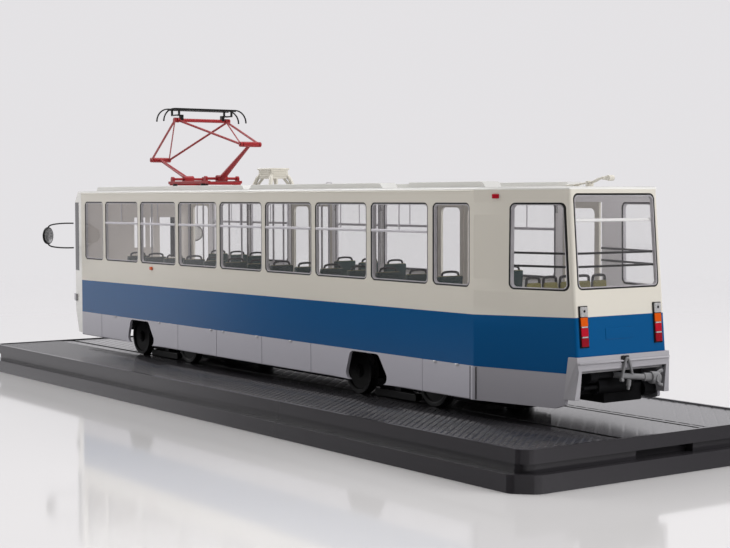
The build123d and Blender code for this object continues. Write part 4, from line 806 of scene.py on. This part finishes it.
# Vent posts: a slim upright in the middle of each vent, from its bar to the top of the opening.
# It is drawn from the same light metal as the bar and pressed into the rubber.
VENT_TOP_Z = 81.2
VENT_POST_HALF_W = 0.18
uprights = []
for bar in loose_parts("vent_bars"):
    uprights.append(middle_of(bar)[:])
    bpy.data.objects.remove(bar)
vent_posts = []
for x, y, z in sorted(uprights):
    low = (x - VENT_POST_HALF_W, y - VENT_POST_HALF_W, z)
    high = (x + VENT_POST_HALF_W, y + VENT_POST_HALF_W, VENT_TOP_Z)
    vent_posts.append(slab(low, high, 0.06))
settle(join(vent_posts), "vent_posts", [light_metal])

# Window trims: a strip of light grey metal round each pane.
# It is bent to the rubber ring's shape and pressed in just inside it.
TRIM_INSET = 0.26
trim_grey = skin(
    "trim_grey", dark=(0.50, 0.48, 0.51), light=(0.60, 0.58, 0.61),
    patch=5, rough=(0.28, 0.40), grain=0.3, relief=0.004, metallic=0.2,
)
trims = loose_parts("window_gaskets")
for ring in trims:
    only(ring)
    bpy.ops.object.origin_set(type="ORIGIN_GEOMETRY", center="BOUNDS")
    along = 1 - 2 * TRIM_INSET * MM / max(ring.dimensions.x, ring.dimensions.y)
    ring.scale = (along, along, 1 - 2 * TRIM_INSET * MM / ring.dimensions.z)
trims = join(trims)
settle(trims, "window_trims", [trim_grey])

# Doors: folding leaves of the right side, with long panes.
# They are moulded shut and sprayed cream with the wall round them.
from_cad("doors", 0.15, cream_paint)

# Inside: moulded olive seats with black grab handles, slim poles, rails over the tail windows,
# the cab's screen and the driver's desk.
# The seats and poles stand on the floor plate, and the rails are glued to the walls.
seat_plastic = skin(
    "seat_plastic", dark=(0.17, 0.155, 0.045), light=(0.25, 0.225, 0.075),
    patch=5, rough=(0.4, 0.55), grain=0.4, relief=0.01,
)
seat_frame = skin(
    "seat_frame", dark=(0.012, 0.035, 0.034), light=(0.022, 0.055, 0.052),
    patch=5, rough=(0.35, 0.5), grain=0.4, relief=0.01,
)
dark_metal = skin(
    "dark_metal", dark=(0.012, 0.012, 0.012), light=(0.022, 0.022, 0.022),
    patch=5, rough=(0.30, 0.42), grain=0.3, relief=0.006,
)
partition_plastic = skin(
    "partition_plastic", dark=(0.58, 0.54, 0.50), light=(0.64, 0.60, 0.56),
    patch=20, rough=(0.4, 0.5), grain=0.6, relief=0.006,
)
# Painted light: the cab screen glows faintly too, standing in for the daylight inside the car.
painted_glow(partition_plastic, (0.92, 0.84, 0.80), 0.09)
SEAT_BACK_FROM_Z = 50
SEAT_BACK_DROP = 2.4
SEAT_TOP = 57.3
SEAT_Y = 21.05
SEAT_XS = [113.0 - 17.7 * row for row in range(14)]
SEAT_HALF_LENGTH = 4.25
DOOR_CLEARANCE = 8.5
HANDLE_R = 0.42
HANDLE = ((-3.8, -4.0), (-3.8, 0.4), (-2.6, 1.4), (2.6, 1.4), (3.8, 0.4), (3.8, -4.0))
seats = from_cad("seats", 0.5, seat_frame, seat_plastic)
for face in seats.data.polygons:
    if face.normal.z > 0.4 or face.normal.x > 0.4:
        face.material_index = 1
for vertex in seats.data.vertices:
    if vertex.co.z > SEAT_BACK_FROM_Z * MM:
        vertex.co.z -= SEAT_BACK_DROP * MM
from_cad("stanchions", 0.0, trim_grey)
from_cad("window_rails", 0.1, dark_metal)
from_cad("cab_partition", 0.2, partition_plastic)
from_cad("driver_desk", 0.6, dark_metal)
handles = []
for side in (-1, 1):
    for seat_x in SEAT_XS:
        seat_middle = seat_x + SEAT_HALF_LENGTH
        near_door = any(abs(seat_middle - x) < half + DOOR_CLEARANCE for x, half in DOOR_SPANS)
        if side < 0 and near_door:
            continue
        points = [(seat_x - 0.3, side * SEAT_Y + across, SEAT_TOP + up) for across, up in HANDLE]
        handles.append(rod(points, HANDLE_R, smooth=True))
settle(join(handles), "seat_handles", [dark_metal])

# Rear bench: five olive seats side by side across the tail platform, moulded in one with their box.
# A black wire handle is pushed into the top of each back.
FLOOR_Z = 31.5
BENCH_X = -151.5
BENCH_YS = [7.2 * (place - 2) for place in range(5)]
BENCH_HANDLE_R = 0.48
BENCH_HANDLE = ((-2.7, 54.0), (-2.9, 57.2), (-2.0, 57.9), (2.0, 57.9), (2.9, 57.2), (2.7, 54.0))
bench = []
bench_handles = []
for y in BENCH_YS:
    bench.append(slab((BENCH_X - 0.9, y - 3.1, 42.5), (BENCH_X + 0.9, y + 3.1, 56.2), 0.7))
    points = [(BENCH_X, y + across, z) for across, z in BENCH_HANDLE]
    bench_handles.append(rod(points, BENCH_HANDLE_R, smooth=True))
bench.append(slab((-151.0, -18.0, 39.0), (-143.0, 18.0, 41.6), 0.9))
bench.append(slab((-149.5, -16.0, FLOOR_Z), (-145.0, 16.0, 39.2), 0.5))
settle(join(bench), "rear_bench", [seat_plastic])
settle(join(bench_handles), "bench_handles", [dark_metal])

# Rear grab rail: a white plastic sleeve over the rail that runs across the rear window.
# It is slipped on from one end before the rail is fixed.
white_plastic = skin(
    "white_plastic", dark=(0.86, 0.85, 0.85), light=(0.90, 0.89, 0.89),
    patch=10, rough=(0.25, 0.35), grain=0.4, relief=0.003,
)
sleeve = slab((-172.8, -17.2, 75.9), (-171.8, 17.2, 76.95), 0.3)
settle(sleeve, "grab_rail_sleeve", [white_plastic])

# Bumpers: an inverted U of grey plate at the tail, and a plain one at the front.
# They are folded from sheet, painted and bolted on.
BUMPER_FACE_X = -178.25
BUMPER_HALF_W = 19.4
BOLT_YS = (17.2, 3.2, -16.4)
BOLT_Z = 32.6
grey_paint = paint("grey_paint", (0.43, 0.42, 0.45))
bumper = from_cad("rear_bumper", 0.18, grey_paint)
for vertex in bumper.data.vertices:
    if vertex.co.x < BUMPER_FACE_X * MM:
        vertex.co.y = max(-BUMPER_HALF_W * MM, min(BUMPER_HALF_W * MM, vertex.co.y))
from_cad("front_bumper", 0.18, grey_paint)
bolts = []
for bolt_y in BOLT_YS:
    inner = (BUMPER_FACE_X + 0.25, bolt_y, BOLT_Z)
    outer = (BUMPER_FACE_X - 0.1, bolt_y, BOLT_Z)
    bolts.append(drum(inner, outer, 0.4, 0.1, sides=12))
settle(join(bolts), "bumper_bolts", [grey_paint])

# Rear coupler: a drawbar of dull silver metal, swung aside, with a round head and two jaws.
# It is cast in one and carried by a strap from a black hanger on the bumper.
STRAP = (
    (-178.9, 1.9, 26.6), (-178.95, 0.5, 32.4), (-179.0, -0.3, 33.8),
    (-179.0, -1.4, 32.8), (-178.9, -2.7, 28.2),
)
silver_metal = skin(
    "silver_metal", dark=(0.24, 0.24, 0.25), light=(0.34, 0.34, 0.35),
    patch=3, rough=(0.46, 0.58), grain=0.3, relief=0.008, metallic=0.3,
)
drawbar = [
    drum((-170.5, 1.6, 28.2), (-178.4, 0.9, 28.0), 0.95, 0.1),
    drum((-177.9, 1.6, 28.0), (-179.3, -8.2, 27.1), 0.95, 0.2),
    drum((-179.1, -7.2, 27.2), (-179.6, -10.6, 26.9), 1.35, 0.35),
]
head = [
    drum((-179.5, -9.8, 26.9), (-180.0, -13.0, 26.6), 2.0, 0.5),
    drum((-180.0, -11.6, 26.6), (-181.6, -12.0, 26.6), 1.5, 0.25),
]
jaws = [
    rod(((-179.8, -12.0, 27.6), (-180.0, -13.4, 28.7), (-180.1, -14.6, 28.8)), 0.62, smooth=True),
    rod(((-179.8, -12.0, 25.6), (-180.0, -13.4, 24.4), (-180.1, -14.6, 24.2)), 0.62, smooth=True),
]
strap = [
    rod(STRAP, 0.45, smooth=True),
    drum((-178.9, 2.4, 26.9), (-178.9, 1.2, 26.7), 0.6, 0.15, sides=12),
]
pin = [
    drum((-179.2, -0.95, 26.8), (-179.2, -0.7, 24.7), 0.75, 0.25, sides=16),
    drum((-179.2, -0.72, 24.9), (-179.2, -0.6, 23.6), 0.5, 0.2, sides=16),
]
stand_in(join(drawbar + head + jaws + strap + pin), "rear_coupler", silver_metal)
hanger = slab((-178.7, -1.7, 32.0), (-177.9, 1.5, 34.3), 0.3)
settle(hanger, "coupler_hanger", [dark_metal])

# Tail gear: a black tank, two drums and a bent pipe slung under the tail behind the bumper.
# They are plastic mouldings, glued up under the floor plate.
gear = [
    slab((-172.5, -13.5, 18.9), (-158.0, 3.3, 24.6), 0.5),
    drum((-172.0, -13.2, 22.4), (-172.0, -18.6, 22.4), 2.2, 0.4),
    rod(((-173.6, 13.4, 24.4), (-173.6, 7.0, 24.6), (-173.6, 0.0, 24.2)), 0.7, smooth=True),
    drum((-174.6, 12.7, 28.2), (-174.6, 9.4, 28.2), 2.2, 0.4),
    drum((-174.6, 9.6, 28.2), (-174.6, 2.0, 28.2), 1.1, 0.2),
]
settle(join(gear), "tail_gear", [underframe_black])

# Lamps: gloss black cases with stacked red and orange lenses at the tail, headlamps and small markers.
# The lenses are pressed into their cases, with bright rules between them and one screw each.
LAMP_Y = 15.9
LAMP_RULE_ZS = (40.72, 43.82)
LOWER_RED_Z = 40.7
SCREW_Z = 48.7
red_lens = skin(
    "red_lens", dark=(0.42, 0.006, 0.020), light=(0.54, 0.010, 0.028),
    patch=1.5, rough=(0.12, 0.2), grain=0.5, relief=0.01,
)
orange_lens = skin(
    "orange_lens", dark=(0.66, 0.085, 0.003), light=(0.78, 0.12, 0.006),
    patch=1.5, rough=(0.12, 0.2), grain=0.5, relief=0.01,
)
clear_lens = skin(
    "clear_lens", dark=(0.58, 0.58, 0.58), light=(0.70, 0.70, 0.70),
    patch=1.5, rough=(0.12, 0.22), grain=0.5, relief=0.01,
)
from_cad("tail_lamp_cases", 0.12, black_gloss)
dark_lens = skin(
    "dark_lens", dark=(0.22, 0.004, 0.012), light=(0.36, 0.008, 0.02),
    patch=0.7, rough=(0.12, 0.2), grain=0.4, relief=0.03,
)
reds = from_cad("red_lenses", 0.3, red_lens, dark_lens)
for face in reds.data.polygons:
    if face.center.z < LOWER_RED_Z * MM:
        face.material_index = 1
from_cad("orange_lenses", 0.3, orange_lens)
from_cad("clear_lenses", 0.15, clear_lens)
lamp_trim = []
lamp_screws = []
for side in (-1, 1):
    y = side * LAMP_Y
    lamp_trim.append(on_rear_wall(slab((-0.8, y - 1.35, 46.95), (-0.4, y + 1.35, 50.0), 0.14)))
    for rule_z in LAMP_RULE_ZS:
        rule = slab((-0.78, y - 1.2, rule_z - 0.2), (-0.3, y + 1.2, rule_z + 0.2), 0.1)
        lamp_trim.append(on_rear_wall(rule))
    screw = drum((-0.9, y, SCREW_Z), (-0.6, y, SCREW_Z), 0.42, 0.05, sides=14)
    lamp_screws.append(on_rear_wall(screw))
settle(join(lamp_trim), "lamp_trim", [latch_metal])
settle(join(lamp_screws), "lamp_screws", [black_gloss])

# Mirrors: a round glass in a black rim on two bowed wires at each front corner.
# Each is turned towards the driver's seat.
MIRROR_TURN = math.radians(33.5)
MIRROR = (169.75, 40.05, 65.6)
RIM_R = 4.15
DISC_R = 3.5
ARM_R = 0.35
ARM = ((165.5, 28.7, 5.9), (167.4, 32.0, 6.0), (169.0, 36.8, 5.6), (169.6, 39.6, 4.9), (*MIRROR[:2], 3.9))
mirror_glass = skin(
    "mirror_glass", dark=(0.72, 0.72, 0.74), light=(0.78, 0.78, 0.80),
    patch=10, rough=(0.04, 0.08), grain=1.0, relief=0.0002, metallic=0.6,
)
rims = []
discs = []
for side in (-1, 1):
    middle = Vector((MIRROR[0], side * MIRROR[1], MIRROR[2]))
    facing = Vector((-math.cos(MIRROR_TURN), -side * math.sin(MIRROR_TURN), 0))
    rims.append(drum(middle - 0.55 * facing, middle + 0.45 * facing, RIM_R, 0.3, sides=40))
    discs.append(drum(middle + 0.3 * facing, middle + 0.52 * facing, DISC_R, 0.05, sides=40))
    for reach in (-1, 1):
        wire = [(x, side * y, MIRROR[2] + reach * rise) for x, y, rise in ARM]
        rims.append(rod(wire, ARM_R, smooth=True))
mirrors = join(rims)
settle(mirrors, "mirrors_made", [dark_metal])
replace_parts(mirrors, "mirrors")
settle(join(discs), "mirror_glass", [mirror_glass])

# Roof box: a cream moulding on four splayed legs, with a lid and louvres on three sides.
# Its feet are screwed to the roof.
ROOF_Z = 86.9
BOX_X = 28.8
LOUVRE_ZS = [92.5 + 0.95 * row for row in range(3)]
LOUVRE_H = 0.4
from_cad("roof_box", 0.2, cream_paint)
box_trim = [slab((BOX_X - 5.4, -4.7, 95.2), (BOX_X + 5.4, 4.7, 95.95), 0.25)]
for z in LOUVRE_ZS:
    box_trim.append(slab((BOX_X - 5.35, -3.4, z), (BOX_X - 5.0, 3.4, z + LOUVRE_H), 0.08))
    for side in (-1, 1):
        low_y, high_y = sorted((side * 4.3, side * 4.65))
        box_trim.append(slab((BOX_X - 4.2, low_y, z), (BOX_X + 4.2, high_y, z + LOUVRE_H), 0.08))
for end in (-1, 1):
    for side in (-1, 1):
        x = BOX_X + end * 4.6
        y = side * 3.9
        foot = (x + end * 2.3, y + side * 1.9)
        leg = ((x, y, 92.6), (x + end * 1.3, y + side * 1.0, 91.6), (*foot, ROOF_Z))
        box_trim.append(rod(leg, 0.85, smooth=True))
        box_trim.append(drum((*foot, ROOF_Z - 0.05), (*foot, ROOF_Z + 0.7), 1.35, 0.2, sides=20))
settle(join(box_trim), "roof_box_trim", [cream_paint])

# Tail rod: two thin wires, bent by hand, that rise from a clamp on the roof to a ribbed knob.
# Clamp and guide are screwed to the roof, and all of it is painted cream.
AERIAL_Y = -5.0
AERIAL_R = 0.27
AERIAL = ((-149.0, 87.5), (-156.0, 88.2), (-158.5, 88.3), (-161.5, 89.6), (-164.0, 89.8), (-166.4, 89.6))
KNOB_Z = 89.65
KNOB_HALF_W = 1.1
KNOBS = ((-163.8, 0.55), (-165.0, 0.7), (-166.4, 0.95))
aerial = [
    slab((-151.0, AERIAL_Y - 1.5, ROOF_Z - 0.05), (-147.0, AERIAL_Y + 1.5, ROOF_Z + 0.9), 0.3),
    slab((-157.5, AERIAL_Y - 1.3, ROOF_Z - 0.05), (-156.2, AERIAL_Y + 1.3, ROOF_Z + 1.9), 0.25),
]
for side in (-1, 1):
    aerial.append(rod([(x, AERIAL_Y + side * 0.6, z) for x, z in AERIAL], AERIAL_R, smooth=True))
for knob_x, radius in KNOBS:
    low = (knob_x, AERIAL_Y - KNOB_HALF_W, KNOB_Z)
    high = (knob_x, AERIAL_Y + KNOB_HALF_W, KNOB_Z)
    aerial.append(drum(low, high, radius, 0.15, sides=16))
stand_in(join(aerial), "roof_aerial", cream_paint)

# Roof handle: a loop of thin grey wire on the roof between its ducts.
# Its ends are pushed into two drilled holes.
LOOP_R = 0.28
LOOP_LOW_Z = ROOF_Z - 0.2
LOOP = ((-10.3, LOOP_LOW_Z), (-10.5, 89.3), (-13.2, 89.7), (-15.8, 89.3), (-16.0, LOOP_LOW_Z))
loop = rod([(x, 0, z) for x, z in LOOP], LOOP_R, smooth=True)
settle(loop, "roof_handle", [trim_grey])

# Pantograph: red metal tubes and shafts on four black feet, with a collector whose horns bend down.
# The arms are soldered to their shafts and turn on pins, and the base is screwed to the feet.
panto_red = paint("panto_red", (0.36, 0.022, 0.026), rough=(0.3, 0.4))
for node in ("panto_base", "panto_lower_rear", "panto_lower_front", "panto_upper_rear", "panto_upper_front"):
    from_cad(node, 0.1, panto_red)
from_cad("panto_head_tube", 0.1, panto_red)
from_cad("panto_feet", 0.15, dark_metal)
from_cad("panto_collector", 0.12, dark_metal)

# Stage: a pale glossy table that fades into the backdrop, three soft lights and the photo's camera.
# Mirrored faces see a bright room on one side of the camera, a dim one on the other and the pale table.
def mixed(tree, share, first, second):
    """Two shaders mixed, with a share of the second."""
    node = tree.nodes.new("ShaderNodeMixShader")
    for socket, source in zip(node.inputs, (share, first, second)):
        tree.links.new(source, socket)
    return node.outputs[0]


TABLE_SIZE = 12
TABLE_TONE = (0.75, 0.735, 0.74)
TABLE_ROUGH = 0.07
TABLE_FADE = (0.35, 1.2)
bpy.ops.object.select_all(action="DESELECT")
bpy.ops.mesh.primitive_plane_add(size=TABLE_SIZE, location=(0, 0, 0))
table = bpy.context.object
table.name = "table"
table_gloss = bpy.data.materials.new("table_gloss")
table_gloss.use_nodes = True
tree = table_gloss.node_tree
table_shader = tree.nodes["Principled BSDF"]
table_shader.inputs["Base Color"].default_value = (*TABLE_TONE, 1)
table_shader.inputs["Roughness"].default_value = TABLE_ROUGH
reach = tree.nodes.new("ShaderNodeVectorMath")
reach.operation = "LENGTH"
tree.links.new(tree.nodes.new("ShaderNodeTexCoord").outputs["Object"], reach.inputs[0])
fade = ramp(tree, reach.outputs["Value"], *TABLE_FADE, 0.0, 1.0, "SMOOTHSTEP")
clear_edge = tree.nodes.new("ShaderNodeBsdfTransparent")
table_light = mixed(tree, fade, table_shader.outputs[0], clear_edge.outputs[0])
tree.links.new(table_light, tree.nodes["Material Output"].inputs["Surface"])
table.data.materials.append(table_gloss)
table.visible_glossy = False

BACKDROP = (0.775, 0.762, 0.780)
ROOM = (1.0, 0.985, 0.965)
ROOM_LIGHT = 0.375
MIRRORED = (0.80, 0.785, 0.81)
DARK_FROM = math.radians(30.7)
DARK_TILT = 0.22
DIM_ROOM = 0.06
BRIGHT_ROOM = 0.95
REAR_SHARE = 0.12
TABLE_GLOW = 0.34
REAR_GLOW = 1.3
world = bpy.context.scene.world or bpy.data.worlds.new("studio")
bpy.context.scene.world = world
world.use_nodes = True
tree = world.node_tree


def worked(operation, first, second):
    """Two values of the world's light worked into one."""
    node = tree.nodes.new("ShaderNodeMath")
    node.operation = operation
    tree.links.new(first, node.inputs[0])
    tree.links.new(second, node.inputs[1])
    return node.outputs[0]


room = tree.nodes["Background"]
room.inputs["Color"].default_value = (*ROOM, 1)
room.inputs["Strength"].default_value = ROOM_LIGHT
backdrop = tree.nodes.new("ShaderNodeBackground")
backdrop.inputs["Color"].default_value = (*BACKDROP, 1)
mirrored = tree.nodes.new("ShaderNodeBackground")
mirrored.inputs["Color"].default_value = (*MIRRORED, 1)
aim = tree.nodes.new("ShaderNodeTexCoord").outputs["Generated"]
aside = tree.nodes.new("ShaderNodeVectorMath")
aside.operation = "DOT_PRODUCT"
aside.inputs[1].default_value = (math.sin(DARK_FROM), -math.cos(DARK_FROM), DARK_TILT)
tree.links.new(aim, aside.inputs[0])
split = tree.nodes.new("ShaderNodeSeparateXYZ")
tree.links.new(aim, split.inputs[0])
ahead = split.outputs["X"]
up = split.outputs["Z"]
bright_side = ramp(tree, aside.outputs["Value"], -0.01, 0.02, DIM_ROOM, BRIGHT_ROOM)
bright_front = ramp(tree, ahead, -0.35, -0.05, REAR_SHARE, 1.0)
room_seen = worked("MULTIPLY", bright_side, bright_front)
table_below = ramp(tree, up, -0.112, -0.096, TABLE_GLOW, 0.0)
front_table = worked("MULTIPLY", table_below, ramp(tree, ahead, 0.60, 0.70, 0.0, 1.0))
deep_below = ramp(tree, up, -0.19, -0.15, REAR_GLOW, 0.0)
rear_table = worked("MULTIPLY", deep_below, ramp(tree, ahead, -0.75, -0.55, 1.0, 0.0))
table_seen = worked("ADD", front_table, rear_table)
tree.links.new(worked("ADD", room_seen, table_seen), mirrored.inputs["Strength"])
sight = tree.nodes.new("ShaderNodeLightPath").outputs
straight = worked("MAXIMUM", sight["Is Camera Ray"], sight["Is Transmission Ray"])
room_light = mixed(tree, sight["Is Glossy Ray"], room.outputs[0], mirrored.outputs[0])
all_light = mixed(tree, straight, room_light, backdrop.outputs[0])
tree.links.new(all_light, tree.nodes["World Output"].inputs["Surface"])

SOFTBOXES = (
    ("front_left_box", (1.5, 1.0, 0.9), (0.0, 0.0, 0.05), 0.95, 13.0),
    ("tail_right_box", (-1.3, -0.9, 0.8), (-0.1, 0.0, 0.05), 1.0, 18.0),
    ("top_box", (0.1, -0.2, 1.7), (0.0, 0.0, 0.05), 1.4, 15.5),
)
for name, place, target, size, power in SOFTBOXES:
    lamp = bpy.data.lights.new(name, "AREA")
    lamp.size = size
    lamp.energy = power
    box = bpy.data.objects.new(name, lamp)
    box.location = place
    box.rotation_euler = (Vector(target) - Vector(place)).to_track_quat("-Z", "Y").to_euler()
    box.visible_glossy = name != "tail_right_box"
    bpy.context.collection.objects.link(box)

CAMERA_PLACE = (-0.520876, 0.339971, 0.083789)
CAMERA_LENS = 75.66
CAMERA_YAW = math.radians(-35.141)
CAMERA_PITCH = math.radians(-2.874)
CAMERA_ROLL = math.radians(-0.152)
lens = bpy.data.cameras.new("photo_camera")
lens.sensor_width = 36.0
lens.lens = CAMERA_LENS
lens.clip_start = 0.01
camera = bpy.data.objects.new("photo_camera", lens)
camera.location = CAMERA_PLACE
camera.rotation_euler = (math.pi / 2 + CAMERA_PITCH, 0, CAMERA_YAW - math.pi / 2)
camera.rotation_euler.rotate_axis("Z", CAMERA_ROLL)
bpy.context.collection.objects.link(camera)
bpy.context.scene.camera = camera
bpy.context.scene.view_settings.view_transform = "Standard"
